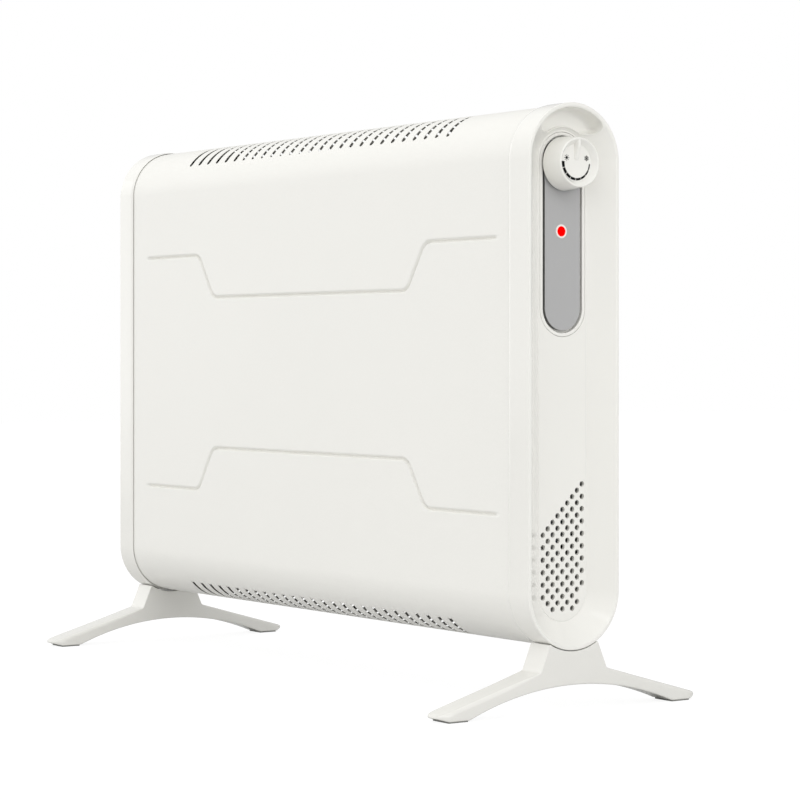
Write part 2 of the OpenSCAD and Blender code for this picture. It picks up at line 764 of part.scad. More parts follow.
module ceramic_bushes() {
    color([0.92, 0.9, 0.84]) in_part()
        for (z = [low_run_z, high_run_z]) difference() {
            union() {
                rod_x(bush_neck_r, right_plate_x - bush_neck_l, room_x + bush_flange_t / 2, 0, z);
                rod_x(bush_flange_r, room_x, room_x + bush_flange_t, 0, z);
            }
            rod_x(tube_r + fit, right_plate_x - bush_neck_l - cut, room_x + bush_flange_t + cut, 0, z);
        }
}

// Bracket on the left side plate that grips the bend of the tube between two fingers
module element_bracket() {
    bend_z = (low_run_z + high_run_z) / 2;
    finger_y = tube_r + fit;
    color(zinc) in_part() {
        block([left_plate_x, -bracket_half, bend_z - bracket_half],
              [left_plate_x + sheet_t, bracket_half, bend_z + bracket_half]);
        for (side = [-1, 1])
            block([left_plate_x, side > 0 ? finger_y : -finger_y - sheet_t, bend_z - finger_half],
                  [bend_x - tube_pitch / 2 + 3, side > 0 ? finger_y + sheet_t : -finger_y, bend_z + finger_half]);
    }
}

// Overheat cut-out: a disc limiter in the right side plate with a flange and two spades
module thermal_cutout() {
    color(black) in_part() {
        rod_x(cutout_r, right_plate_x - 8, cutout_end_x, 0, cutout_z);
        block([room_x, -cutout_flange[1], cutout_z - cutout_flange[2]],
              [room_x + cutout_flange[0], cutout_flange[1], cutout_z + cutout_flange[2]]);
        for (side = [-1, 1])
            block([cutout_end_x, side * cutout_spade_y - spade_w / 4, cutout_z - spade_w / 2],
                  [cutout_end_x + spade_l, side * cutout_spade_y - spade_w / 4 + spade_t,
                   cutout_z + spade_w / 2]);
    }
}

// Three-way terminal block with a screw for each wire
module terminal_block() {
    color([0.9, 0.88, 0.8]) in_part() difference() {
        block([room_x, block_y[0] - block_way / 2, block_z],
              [room_x + block_d, block_y[2] + block_way / 2, block_z + block_h]);
        for (y = block_y)
            rod_x(2, room_x + block_d - 3, room_x + block_d + cut, y, block_z + block_h / 2, 32);
        for (i = [0, 1])
            block([room_x + block_d - 4, block_y[i] + block_way / 2 - 0.6, block_z - cut],
                  [room_x + block_d + cut, block_y[i] + block_way / 2 + 0.6, block_z + block_h + cut]);
    }
}

// Wiring

// Corner b of a route from a to c, rounded to a parabola
function rounded_corner(a, b, c) =
    let (reach = min(wire_bend, bend_share * norm(a - b), bend_share * norm(c - b)),
         from = b + reach * unit(a - b),
         to = b + reach * unit(c - b))
    [for (s = [0 : curve_steps]) let (t = s / curve_steps)
        pow(1 - t, 2) * from + 2 * t * (1 - t) * b + pow(t, 2) * to];

// Path along a route's straight legs with each corner rounded
function smooth(route) = concat(
    [route[0]],
    [for (i = [1 : len(route) - 2]) each rounded_corner(route[i - 1], route[i], route[i + 1])],
    [route[len(route) - 1]]);

// Direction of a path at point i, halfway between the stretches that meet there
function way_at(path, i) = unit(
    (i < len(path) - 1 ? unit(path[i + 1] - path[i]) : [0, 0, 0])
    + (i > 0 ? unit(path[i] - path[i - 1]) : [0, 0, 0]));

// Unit vectors across a path at each of its points, carried along so that they never twist
function carried(path, across, i = 0) =
    let (way = way_at(path, i), next = unit(across - (across * way) * way))
    concat([next], i < len(path) - 1 ? carried(path, next, i + 1) : []);

// A round tube along a path that starts square to Y, as one closed mesh
module tube(path, r, sides = 8) {
    last = len(path) - 1;
    across = carried(path, [0, 1, 0]);
    rings = [for (i = [0 : last], k = [0 : sides - 1])
        path[i] + r * (cos(360 * k / sides) * across[i]
            + sin(360 * k / sides) * cross(way_at(path, i), across[i]))];
    walls = [for (i = [0 : last - 1], k = [0 : sides - 1])
        let (a = i * sides + k, b = i * sides + (k + 1) % sides)
        for (face = [[a, b, b + sides], [a, b + sides, a + sides]]) face];
    start = [[for (k = [0 : sides - 1]) sides - 1 - k]];
    end = [[for (k = [0 : sides - 1]) last * sides + k]];
    polyhedron(points = rings, faces = concat(walls, start, end));
}

block_top = block_z + block_h;
spade_tip_x = cutout_end_x + spade_l;
pin_tip_x = tube_end_x + pin_l;
up = [0, 0, 1];
outward = [1, 0, 0];
curve_steps = 6;
wire_bend = 14;          // longest reach of a bend along the legs beside it
bend_share = 0.46;       // and its longest share of a leg
lead_l = 8;              // straight end of a wire, square to the face it meets
lamp_lead_r = wire_r * 0.7;
lamp_lead_y = 1.6;

module wire(middle, start, start_way, end, end_way, r = wire_r) {
    tube(smooth(concat([start, start + lead_l * start_way], middle, [end + lead_l * end_way, end])), r);
}

module wire_live() {
    color([0.45, 0.25, 0.12]) in_part() wire(
        [[block_x + 8, block_y[2] + 4, block_top + 50], [thermo_spade_x - 3, 20, mid_z],
         [thermo_spade_x - 2, 16, cutout_z + 20]],
        [block_x, block_y[2], block_top], up,
        [thermo_spade_x, thermo_spade_y, thermo_spade_z], -up);
}

module wire_switched() {
    color([0.12, 0.12, 0.12]) in_part() wire(
        [[thermo_spade_x - 1, -10, cutout_z + 34], [spade_tip_x + 11, -8, cutout_z + 8]],
        [thermo_spade_x, -thermo_spade_y, thermo_spade_z], -up,
        [spade_tip_x, -cutout_spade_y, cutout_z], outward);
}

module wire_limited() {
    color([0.75, 0.1, 0.08]) in_part() wire(
        [[spade_tip_x + 11, 8, cutout_z - 14], [pin_tip_x + 13, 6, high_run_z + 22]],
        [spade_tip_x, cutout_spade_y, cutout_z], outward,
        [pin_tip_x, 0, high_run_z], outward);
}

module wire_neutral() {
    color([0.1, 0.25, 0.65]) in_part() wire(
        [[pin_tip_x + 5, block_y[1], block_top + 10], [pin_tip_x + 12, 2, low_run_z - 8]],
        [block_x, block_y[1], block_top], up,
        [pin_tip_x, 0, low_run_z], outward);
}

module wire_earth() {
    color([0.35, 0.6, 0.2]) in_part() wire(
        [[block_x, block_y[0], earth_z + 20], [earth_wire_x, earth_y, earth_z + 20]],
        [block_x, block_y[0], block_top], up,
        [earth_wire_x, earth_y, earth_z + screw_head_r], up);
}

// Leads of the lamp: one to the switched spade and one to the neutral pin
module lamp_leads() {
    color([0.85, 0.85, 0.8]) in_part() {
        wire([[thermo_spade_x - spade_w / 2 - 10, -7, thermo_spade_z - 8]],
            [lamp_body_x, lamp_y - lamp_lead_y, lamp_z], -outward,
            [thermo_spade_x - spade_w / 2, -thermo_spade_y, thermo_spade_z + 4], -outward, lamp_lead_r);
        wire([[lamp_body_x - 10, 0, lamp_z - 12], [lamp_body_x + 6, 0, lamp_z - 36],
              [lamp_body_x + 9, 0, mid_z - 14], [lamp_body_x - 2, -4, low_run_z + 18]],
            [lamp_body_x, lamp_y + lamp_lead_y, lamp_z], -outward,
            [pin_tip_x - pin_l / 2, 0, low_run_z + pin_r], up, lamp_lead_r);
    }
}

module earth_screw() {
    color([0.8, 0.68, 0.3]) in_part() {
        rod_x(screw_r, right_plate_x - 4, room_x + 1, earth_y, earth_z);
        rod_x(screw_head_r, room_x, earth_wire_x + wire_r, earth_y, earth_z);
    }
}

// Cord inlet in the rear panel: a flanged gland and its inner nut
module cord_gland() {
    color(black) in_part() difference() {
        union() {
            rod_y(gland_flange_r, panel_y, panel_y + gland_flange_t, gland_x, gland_z);
            rod_y(gland_neck_r, gland_in_y, panel_y + cut, gland_x, gland_z);
        }
        rod_y(gland_bore_r, gland_in_y - cut, panel_y + gland_flange_t + cut, gland_x, gland_z);
    }
}

module gland_nut() {
    color(black) in_part() difference() {
        rod_y(gland_nut_r, panel_in_y - gland_nut_t, panel_in_y, gland_x, gland_z, 6);
        rod_y(gland_neck_r + fit, panel_in_y - gland_nut_t - cut, panel_in_y + cut, gland_x, gland_z);
    }
}

// Feet

// Side view of a foot, in Y and Z, before the arch and the cradle are cut
module foot_side() {
    tip = foot_l / 2;
    slope = (foot_knee_z - foot_tip_z) / (tip - 4 - foot_knee_half);
    half = [
        [tip - 7.5, pad_t], [tip - 2, 2.4], [tip, foot_tip_z - 1.4],
        [tip - 1, foot_tip_z - 0.4], [tip - 4, foot_tip_z],
        [foot_knee_half + 3, foot_knee_z - 3 * slope], [foot_knee_half + 0.8, foot_knee_z],
        [foot_knee_half - 0.7, foot_knee_z + 1.8], [foot_block_half, block_top_z]
    ];
    polygon(concat(half, [for (i = [len(half) - 1 : -1 : 0]) [-half[i][0], half[i][1]]]));
}

// Plan of a foot with its round tips
module foot_plan() {
    translate([foot_in_x, -foot_l / 2 + tip_r]) square([foot_t, foot_l - 2 * tip_r]);
    for (side = [-1, 1]) translate([foot_mid_x, side * (foot_l / 2 - tip_r)]) circle(tip_r);
}

// Foot with its cradle clear of the cap, and two seats round the screws that carry the cap
module foot() {
    difference() {
        union() {
            difference() {
                intersection() {
                    along_x(foot_in_x, foot_out_x) foot_side();
                    linear_extrude(arc_low_z) foot_plan();
                }
                rod_x(arch_r, foot_in_x - cut, foot_out_x + cut, 0, arch_z - arch_r, 192);
                rod_x(cradle_r, foot_in_x - cut, foot_out_x + cut, 0, arc_low_z, 96);
            }
            for (side = [-1, 1]) translate([foot_screw_x, side * foot_screw_y, foot_head_z + 2])
                cylinder(r = foot_seat_r, h = floor_gap + 2 - foot_head_z, $fn = 48);
        }
        rod_x(cap_r, foot_in_x - cut, foot_out_x + cut, 0, arc_low_z, 96);
        for (side = [-1, 1]) translate([foot_screw_x, side * foot_screw_y, 0]) {
            cylinder(r = foot_screw_r + 0.2, h = arc_low_z, $fn = 48);
            cylinder(r = foot_screw_r * 2.1, h = foot_head_z, $fn = 48);
        }
    }
}

module foot_right() { color(cap_ivory) in_part() foot(); }

module foot_left() { color(cap_ivory) in_part() mirror([1, 0, 0]) foot(); }

module foot_pads() {
    color([0.25, 0.25, 0.24]) in_part() both_ends()
        for (side = [-1, 1])
            block([foot_mid_x - pad_w / 2, side * pad_y - pad_l / 2, 0],
                  [foot_mid_x + pad_w / 2, side * pad_y + pad_l / 2, pad_t]);
}

module foot_screws() {
    color(zinc) in_part() both_ends()
        for (side = [-1, 1]) translate([foot_screw_x, side * foot_screw_y, 0]) {
            translate([0, 0, foot_head_z - foot_head_t])
                cylinder(r = foot_screw_r * 2, h = foot_head_t, $fn = 48);
            translate([0, 0, foot_head_z - cut])
                cylinder(r = foot_screw_r, h = foot_boss_z - 1.2 - foot_head_z + cut, $fn = 48);
        }
}

module cap_screws() {
    color(zinc) in_part() both_ends()
        for (z = tab_z) screw_y(tab_screw_x, panel_y, z, panel_in_y - tab_t - 2);
}

module rear_panel_screws() {
    color(zinc) in_part()
        for (x = panel_screw_x, z = [arc_low_z + panel_screw_z, arc_top_z - panel_screw_z])
            screw_y(x, sheet_r, z, panel_in_y - 3);
}

front_shell();
rear_panel();
end_cap_right();
end_cap_left();
fascia_tray();
fascia_plate();
control_knob();
thermostat_spindle();
thermostat_body();
thermostat_nut();
indicator_bezel();
indicator_lens();
indicator_lamp();
side_plate_right();
side_plate_left();
heat_shield_front();
heat_shield_rear();
heating_tube();
heating_fins();
terminal_pins();
ceramic_bushes();
element_bracket();
thermal_cutout();
terminal_block();
wire_live();
wire_switched();
wire_limited();
wire_neutral();
wire_earth();
lamp_leads();
earth_screw();
cord_gland();
gland_nut();
foot_right();
foot_left();
foot_pads();
foot_screws();
cap_screws();
rear_panel_screws();
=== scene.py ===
# Looks of a portable convector heater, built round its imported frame.
# Lengths are in millimetres on the frame's own axes, and meshes are scaled to metres when they are made.
import math

import bmesh
import bpy
import numpy as np
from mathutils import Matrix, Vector, geometry


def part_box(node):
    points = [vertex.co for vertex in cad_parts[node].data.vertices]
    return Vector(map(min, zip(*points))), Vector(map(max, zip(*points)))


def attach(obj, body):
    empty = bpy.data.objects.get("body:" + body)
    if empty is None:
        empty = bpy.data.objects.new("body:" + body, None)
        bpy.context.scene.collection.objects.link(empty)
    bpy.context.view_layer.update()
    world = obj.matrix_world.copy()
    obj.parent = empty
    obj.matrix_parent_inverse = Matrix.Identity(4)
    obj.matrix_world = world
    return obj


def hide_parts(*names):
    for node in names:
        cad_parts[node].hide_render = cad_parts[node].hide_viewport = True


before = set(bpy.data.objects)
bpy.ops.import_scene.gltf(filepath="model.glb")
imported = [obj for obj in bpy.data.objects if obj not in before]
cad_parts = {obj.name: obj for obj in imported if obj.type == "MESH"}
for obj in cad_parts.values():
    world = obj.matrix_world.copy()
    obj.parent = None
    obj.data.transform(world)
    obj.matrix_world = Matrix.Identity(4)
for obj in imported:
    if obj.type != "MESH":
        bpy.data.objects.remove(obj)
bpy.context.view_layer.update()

MM = 0.001
MERGE_M = 1e-5           # points closer than this, in metres, become one
TINY = 1e-6
AXIS_R = 0.001           # where a turned section meets its axis
SHARP_ANGLE = math.radians(34)
MAX_REACH = 0.49         # share of a side that one rounding may take


def box_mm(node):
    low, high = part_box(node)
    return np.array(low) / MM, np.array(high) / MM


# Sizes taken from the frame

cap_low, cap_high = box_mm("end_cap_right")
left_low = box_mm("end_cap_left")[0]
shell_low, shell_high = box_mm("front_shell")
knob_low, knob_high = box_mm("control_knob")
plate_low, plate_high = box_mm("fascia_plate")
tray_low, tray_high = box_mm("fascia_tray")
lens_low, lens_high = box_mm("indicator_lens")
bezel_low, bezel_high = box_mm("indicator_bezel")
foot_low, foot_high = box_mm("foot_right")
foot_left_low = box_mm("foot_left")[0]

CAP_R = (cap_high[1] - cap_low[1]) / 2
RIM_X = cap_high[0]
LEFT_RIM_X = left_low[0]
MIDDLE_X = (RIM_X + LEFT_RIM_X) / 2
LOW_Z = cap_low[2] + CAP_R
TOP_Z = cap_high[2] - CAP_R
MIDDLE_Z = (LOW_Z + TOP_Z) / 2
SHELL_R = (shell_high[1] - shell_low[1]) / 2
PLATE_R = plate_high[1]
TRAY_LOW_Z = plate_low[2] + PLATE_R
TRAY_TOP_Z = plate_high[2] - PLATE_R
TRAY_FLANGE_R = tray_high[1]
LENS_R = (lens_high[1] - lens_low[1]) / 2
LAMP_Y = (lens_low[1] + lens_high[1]) / 2
LAMP_Z = (lens_low[2] + lens_high[2]) / 2
KNOB_LEN = knob_high[0] - knob_low[0]
KNOB_Z = (knob_low[2] + knob_high[2]) / 2
FOOT_HALF = foot_high[1]
FOOT_T = foot_high[0] - foot_low[0]

# Sizes that several pieces share

RIM_W = 2.6
DISH_DEPTH = 12.2
DISH_RUN = 14.7          # width of the dish's wall, seen from the end
FLOOR_X = RIM_X - DISH_DEPTH
FLOOR_R = CAP_R - RIM_W - DISH_RUN
LEDGE_DEPTH = 1.3        # ledge on which the control panel's frame lies
TRAY_WELL_R = 16.0


# Mesh helpers

def new_object(name, verts, faces):
    """An object from points in millimetres, with doubled points merged and smooth shading."""
    mesh = bpy.data.meshes.new(name)
    mesh.from_pydata([tuple(float(c) * MM for c in v) for v in verts], [], faces)
    bm = bmesh.new()
    bm.from_mesh(mesh)
    bmesh.ops.remove_doubles(bm, verts=bm.verts, dist=MERGE_M)
    bmesh.ops.dissolve_degenerate(bm, edges=bm.edges, dist=MERGE_M)
    bmesh.ops.recalc_face_normals(bm, faces=bm.faces)
    bm.to_mesh(mesh)
    bm.free()
    mesh.shade_smooth()
    mesh.set_sharp_from_angle(angle=SHARP_ANGLE)
    obj = bpy.data.objects.new(name, mesh)
    bpy.context.scene.collection.objects.link(obj)
    return obj


def weighted_normals(obj):
    """Lets the large faces set the shading, so that flats stay flat beside small roundings."""
    modifier = obj.modifiers.new("weighted normals", "WEIGHTED_NORMAL")
    modifier.keep_sharp = True
    modifier.weight = 80
    return obj


class Pile:
    """Collects the points and faces of one mesh."""

    def __init__(self):
        self.verts = []
        self.faces = []

    def add(self, verts, faces):
        start = len(self.verts)
        self.verts.extend([tuple(v) for v in verts])
        self.faces.extend([[start + i for i in face] for face in faces])

    def polygon(self, points):
        self.add(points, [list(range(len(points)))])

    def grid(self, rows, closed=False, keep=None):
        """Quads between rows of equal length; closed joins the ends of each row."""
        count = len(rows[0])
        verts = [p for row in rows for p in row]
        faces = []
        for r in range(len(rows) - 1):
            for c in range(count if closed else count - 1):
                n = (c + 1) % count
                if keep is None or keep(r, c):
                    faces.append([r * count + c, r * count + n, (r + 1) * count + n, (r + 1) * count + c])
        self.add(verts, faces)

    def flat(self, x, outline, holes=()):
        """Fills a flat region at x between an outline and its holes, all lists of (y, z)."""
        points, edges = [], []
        for loop in [outline, *holes]:
            start = len(points)
            points.extend([Vector(p) for p in loop])
            edges.extend([(start + i, start + (i + 1) % len(loop)) for i in range(len(loop))])
        out, _, tris, *_ = geometry.delaunay_2d_cdt(points, edges, [], 0, TINY)
        centres = np.array(out)[np.array(tris)].mean(axis=1)
        kept = inside(outline, centres)
        for loop in holes:
            kept &= ~inside(loop, centres)
        self.add([(x, p[0], p[1]) for p in out], [list(tri) for tri, keep in zip(tris, kept) if keep])

    def make(self, name):
        return new_object(name, self.verts, self.faces)


def inside(loop, points):
    """Which points lie inside a closed loop."""
    a = np.array(loop)
    b = np.roll(a, -1, axis=0)
    y, z = points[:, :1], points[:, 1:]
    crosses = (a[:, 1] > z) != (b[:, 1] > z)
    rise = np.where(crosses, b[:, 1] - a[:, 1], 1.0)
    at = a[:, 0] + (z - a[:, 1]) * (b[:, 0] - a[:, 0]) / rise
    return np.count_nonzero(crosses & (y < at), axis=1) % 2 == 1


def rounded(points, radii, steps=6):
    """A line through points with its corners rounded to the given radii."""
    points = [np.array(p, float) for p in points]
    out = []
    for i, p in enumerate(points):
        if radii[i] == 0 or i in (0, len(points) - 1):
            out.append(p)
            continue
        before = points[i - 1] - p
        after = points[i + 1] - p
        u = before / np.linalg.norm(before)
        v = after / np.linalg.norm(after)
        half = math.acos(max(-1, min(1, float(u @ v)))) / 2
        room = MAX_REACH * min(np.linalg.norm(before), np.linalg.norm(after))
        reach = min(radii[i] / math.tan(half), room)
        radius = reach * math.tan(half)
        middle = (u + v) / np.linalg.norm(u + v)
        centre = p + middle * radius / math.sin(half)
        start, end = p + u * reach - centre, p + v * reach - centre
        sweep = math.pi - 2 * half
        for k in range(steps + 1):
            t = k / steps
            turned = start * math.sin((1 - t) * sweep) + end * math.sin(t * sweep)
            out.append(centre + turned / math.sin(sweep))
    return out


def revolve(name, section, x, y, z, count):
    """Turns a section of (radius, x) about a line along X."""
    pile = Pile()
    turns = [2 * math.pi * k / count for k in range(count)]
    pile.grid([[(x + at, y + r * math.sin(a), z + r * math.cos(a)) for a in turns] for r, at in section],
              closed=True)
    return pile.make(name)


def stadium_ways(low_z, top_z, arc_steps, straight_steps, top_angles=None):
    """Rays round a stadium, as (centre z, y way, z way), from the rear side over the top."""
    if top_angles is None:
        top_angles = np.linspace(-90, 90, arc_steps + 1)
    ways = []
    for z in np.linspace(low_z, top_z, straight_steps + 1)[:-1]:
        ways.append((z, 1.0, 0.0))
    for a in np.radians(top_angles)[::-1]:
        ways.append((top_z, math.sin(a), math.cos(a)))
    for z in np.linspace(top_z, low_z, straight_steps + 1)[1:-1]:
        ways.append((z, -1.0, 0.0))
    for a in np.radians(np.linspace(-90, 90, arc_steps + 1)):
        ways.append((low_z, math.sin(a), -math.cos(a)))
    return ways[:-1]


def stadium_rows(section, ways):
    """Rows of points for a section of (radius, x) swept round a stadium."""
    return [[(x, r * wy, cz + r * wz) for cz, wy, wz in ways] for r, x in section]


def stadium_loop(radius, ways):
    return [(radius * wy, cz + radius * wz) for cz, wy, wz in ways]


def circle_loop(radius, y, z, count):
    turns = [2 * math.pi * k / count for k in range(count)]
    return [(y + radius * math.cos(a), z + radius * math.sin(a)) for a in turns]


# Steel case: a wrap-around sheet with slots and pressed grooves

SHEET_T = 0.4
FLANGE_Z = 15.0          # height of the flanges along the rear
SLOT_COUNT = 27
SLOT_PITCH = 12.88
SLOT_HALF = 2.1
SLOT_ANGLE = 34.9        # from the case's flat front, and from its flat rear
SLOT_INSET = 1.8         # from there to the centre of the slot's round end
SLOT_LIP = 0.15
GROOVE_OUTER_Z = 88.4    # from the case's middle to the grooves' ends
GROOVE_INNER_Z = 56.4    # and to their middle stretch
GROOVE_HALF = 225.6
GROOVE_BENDS = (147.6, 126.6)
GROOVE_SHIFT = 3.4       # of the grooves' middle towards the right end
GROOVE_BED = -0.3        # deepest line, below the groove's middle
GROOVE_TOP_WALL = 2.2
GROOVE_LOW_WALL = 1.0
GROOVE_DEPTH = 2.3
GROOVE_CORNER = 11.0
GROOVE_FADE = 2.8

# Spacing of the sheet's points

SLOT_SIDES = (0, 0.9, 1.6, 1.95, SLOT_HALF, 2.35, 3.1, 4.5)
END_COLUMNS = 22
END_COLUMN_GAP = 2.0
BEND_REACH = 5.0
BEND_STEP = 0.8
COLUMN_GAP = 0.3
FLANGE_ROWS = 4
SHEET_ROWS = 10
SLOT_ROWS = 34
SLOT_ROW_OUT = 3.2       # from the centre of a slot's end to the next rows
SLOT_ROW_IN = 1.4
GROOVE_REACH = 3.5
GROOVE_STEP = 0.5
SLANT_STEP = 1.0
FRONT_ROWS = 46
FRONT_ROW_GAP = 2.5


def shell_columns():
    """Places along X, close together at the slots' edges, each with its way from its slot's middle."""
    places = []
    for i in range(SLOT_COUNT):
        centre = MIDDLE_X + (i - (SLOT_COUNT - 1) / 2) * SLOT_PITCH
        for o in sorted({-o for o in SLOT_SIDES} | set(SLOT_SIDES)):
            places.append((centre + o, o))
        places.append((centre + SLOT_PITCH / 2, SLOT_PITCH / 2))
    first, last = places[0][0], places[-1][0]
    ends = [*np.linspace(shell_low[0], first - END_COLUMN_GAP, END_COLUMNS),
            *np.linspace(last + END_COLUMN_GAP, shell_high[0], END_COLUMNS)]
    places += [(x, SLOT_PITCH / 2) for x in ends]
    outer, inner = GROOVE_BENDS
    taken = np.array([x for x, _ in places])
    for side in (-1, 1):
        for run in np.arange(inner - BEND_REACH, outer + BEND_REACH, BEND_STEP):
            x = MIDDLE_X + GROOVE_SHIFT + side * run
            if np.abs(taken - x).min() > COLUMN_GAP:
                i = round((x - MIDDLE_X) / SLOT_PITCH)
                places.append((x, x - MIDDLE_X - i * SLOT_PITCH))
    return sorted(places)


def front_heights():
    """Heights of the rows on the flat front, close together at the grooves."""
    inner, outer = GROOVE_INNER_Z, GROOVE_OUTER_Z
    reach, step, slant = GROOVE_REACH, GROOVE_STEP, SLANT_STEP
    half = np.array([*np.arange(inner - reach, inner + reach + step / 2, step),
                     *np.arange(inner + reach + slant, outer - reach - slant / 2, slant),
                     *np.arange(outer - reach, outer + reach + step / 2, step)])
    fine = set(np.round(np.concatenate([MIDDLE_Z - half, MIDDLE_Z + half]), 3))
    even = np.linspace(LOW_Z, TOP_Z, FRONT_ROWS)[1:-1]
    coarse = {z for z in even if min(abs(z - f) for f in fine) > FRONT_ROW_GAP}
    return sorted(fine | coarse)


def shell_rows():
    """Places round the case, as (y, z, normal y, normal z, kind of row)."""
    rows = []
    start = math.radians(SLOT_ANGLE) + SLOT_INSET / SHELL_R
    end = math.pi - start
    out, along = SLOT_ROW_OUT / SHELL_R, SLOT_ROW_IN / SHELL_R
    angles = [*np.linspace(0, start - out, SHEET_ROWS), start,
              *np.linspace(start + along, end - along, SLOT_ROWS),
              end, *np.linspace(end + out, math.pi, SHEET_ROWS)]

    def kind(a):
        if a in (start, end):
            return "first" if a == start else "last"
        return "slot" if start < a < end else "sheet"

    def arc(centre_z, side):
        for a in angles:
            ny, nz = -side * math.cos(a), side * math.sin(a)
            rows.append((SHELL_R * ny, centre_z + SHELL_R * nz, ny, nz, kind(a)))

    def straight(side, heights):
        rows.extend([(side * SHELL_R, z, side, 0.0, "sheet") for z in heights])

    straight(1.0, np.linspace(LOW_Z + FLANGE_Z, LOW_Z, FLANGE_ROWS)[:-1])
    arc(LOW_Z, -1)
    straight(-1.0, front_heights())
    arc(TOP_Z, 1)
    straight(1.0, np.linspace(TOP_Z, TOP_Z - FLANGE_Z, FLANGE_ROWS)[1:])
    return rows


def groove_depth(x, z):
    """Depth of the pressed grooves at places on the front."""
    x = x - MIDDLE_X - GROOVE_SHIFT
    upper = z > MIDDLE_Z
    z = np.abs(z - MIDDLE_Z)
    outer, inner = GROOVE_BENDS
    line = rounded([(-GROOVE_HALF, GROOVE_OUTER_Z), (-outer, GROOVE_OUTER_Z), (-inner, GROOVE_INNER_Z),
                    (inner, GROOVE_INNER_Z), (outer, GROOVE_OUTER_Z), (GROOVE_HALF, GROOVE_OUTER_Z)],
                   [0] + [GROOVE_CORNER] * 4 + [0], steps=8)
    away = np.full(x.shape, np.inf)
    for a, b in zip(line[:-1], line[1:]):
        d = b - a
        t = np.clip(((x - a[0]) * d[0] + (z - a[1]) * d[1]) / (d @ d), 0, 1)
        gap = np.hypot(x - a[0] - t * d[0], z - a[1] - t * d[1])
        above = np.where(d[0] * (z - a[1]) > d[1] * (x - a[0]), gap, -gap)
        away = np.where(gap < np.abs(away), above, away)
    away = np.where(upper, away, -away) - GROOVE_BED
    wall = np.where(away > 0, GROOVE_TOP_WALL, GROOVE_LOW_WALL)
    press = 0.5 + 0.5 * np.cos(np.pi * np.clip(np.abs(away) / wall, 0, 1))
    fade = np.clip((GROOVE_HALF - np.abs(x)) / GROOVE_FADE, 0, 1)
    return GROOVE_DEPTH * press * fade * fade * (3 - 2 * fade)


def shell_points(columns, rows):
    """Points of the sheet's outer face, then of its inner face, with the lips and grooves pressed in."""
    xs, offs = np.array(columns).T
    offs = np.abs(offs)
    tip = np.sqrt(np.clip(SLOT_HALF ** 2 - offs ** 2, 0, None))
    ones = np.ones(len(xs))
    outer, inner = [], []
    for y, z, ny, nz, kind in rows:
        yy, zz = y * ones, z * ones
        normal_y, normal_z = ny * ones, nz * ones
        push = 0 * ones
        if kind in ("first", "last"):
            upper = z > MIDDLE_Z
            turn = tip / SHELL_R * (-1 if (kind == "first") == upper else 1)
            cos, sin = np.cos(turn), np.sin(turn)
            normal_y, normal_z = ny * cos + nz * sin, nz * cos - ny * sin
            yy = SHELL_R * normal_y
            zz = (TOP_Z if upper else LOW_Z) + SHELL_R * normal_z
            push = np.where(offs <= SLOT_HALF + TINY, SLOT_LIP, 0)
        elif kind == "slot":
            push = np.where(np.abs(offs - SLOT_HALF) < TINY, SLOT_LIP, 0)
        depth = SHEET_T
        if ny == -1.0:
            push = push + groove_depth(xs, zz)
            depth = SHEET_T + push
        outer.append(np.stack([xs, yy - push * normal_y, zz - push * normal_z], axis=1))
        inner.append(np.stack([xs, yy - depth * normal_y, zz - depth * normal_z], axis=1))
    return np.concatenate(outer + inner)


def make_shell():
    columns, rows = shell_columns(), shell_rows()
    verts = shell_points(columns, rows)
    wide, tall = len(columns), len(rows)
    in_slot = np.abs([off for _, off in columns]) <= SLOT_HALF + TINY
    solid = np.ones((tall - 1, wide - 1), bool)
    for r in range(tall - 1):
        if rows[r][-1] in ("first", "slot") and rows[r + 1][-1] in ("slot", "last"):
            solid[r, in_slot[:-1] & in_slot[1:]] = False
    count = tall * wide
    faces = []
    for r, c in zip(*np.nonzero(solid)):
        a = r * wide + c
        b, d, e = a + 1, a + wide + 1, a + wide
        faces.append([a, b, d, e])
        faces.append([count + e, count + d, count + b, count + a])
        for r2, c2, p, q in ((r - 1, c, b, a), (r + 1, c, e, d), (r, c - 1, a, e), (r, c + 1, d, b)):
            if not (0 <= r2 < tall - 1 and 0 <= c2 < wide - 1 and solid[r2, c2]):
                faces.append([p, q, count + q, count + p])
    used = sorted({i for face in faces for i in face})
    index = {old: new for new, old in enumerate(used)}
    return new_object("case_sheet", verts[used], [[index[i] for i in face] for face in faces])


# End caps: rim, dish, grip pocket, vent holes

CAP_W = 21.0             # width of the outer band
LEFT_CAP_W = 20.3
CAP_LAP = 8.0            # depth of the lap round the case
CAP_ARC_STEPS = 64
CAP_STRAIGHT_STEPS = 8
HOLE_ARC_STEPS = 48      # round the control panel's hole
SEAM_GAP = 0.5
SEAM_ROUND = 4.2
RIM_ROUND = 0.6
RIM_EDGE_W = 0.55
RIM_FALL = 0.35          # drop of the rim's soft inner edge
WALL_TOP_R = CAP_R - RIM_W
WALL_HOLLOW = 0.9
PANEL_LINE_W = 0.35      # fine line round the inner panel
PANEL_LINE_DEPTH = 0.3
PANEL_EDGE_W = 0.3
PANEL_T = 2.2
PANEL_BACK_R = FLOOR_R + 0.8
WALL_FOOT_R = FLOOR_R + PANEL_LINE_W
WALL_FOOT_X = FLOOR_X - PANEL_LINE_DEPTH
POCKET_R = WALL_TOP_R - 0.3
POCKET_LIP_R = 22.4
POCKET_MIDDLE_R = (POCKET_R + POCKET_LIP_R) / 2
POCKET_HALF = 24.3
POCKET_LOW = 18.2
POCKET_CORNER = 2.5
POCKET_DEPTH = 12.6
POCKET_SUNK = 1.7        # from the wall's surface to the start of the pocket's sides
POCKET_FAN = 19.0        # rays round the pocket stay radial as far out as this
POCKET_SPINE = 17.0      # half the line to which the pocket's back narrows
POCKET_LIP_W = 1.4
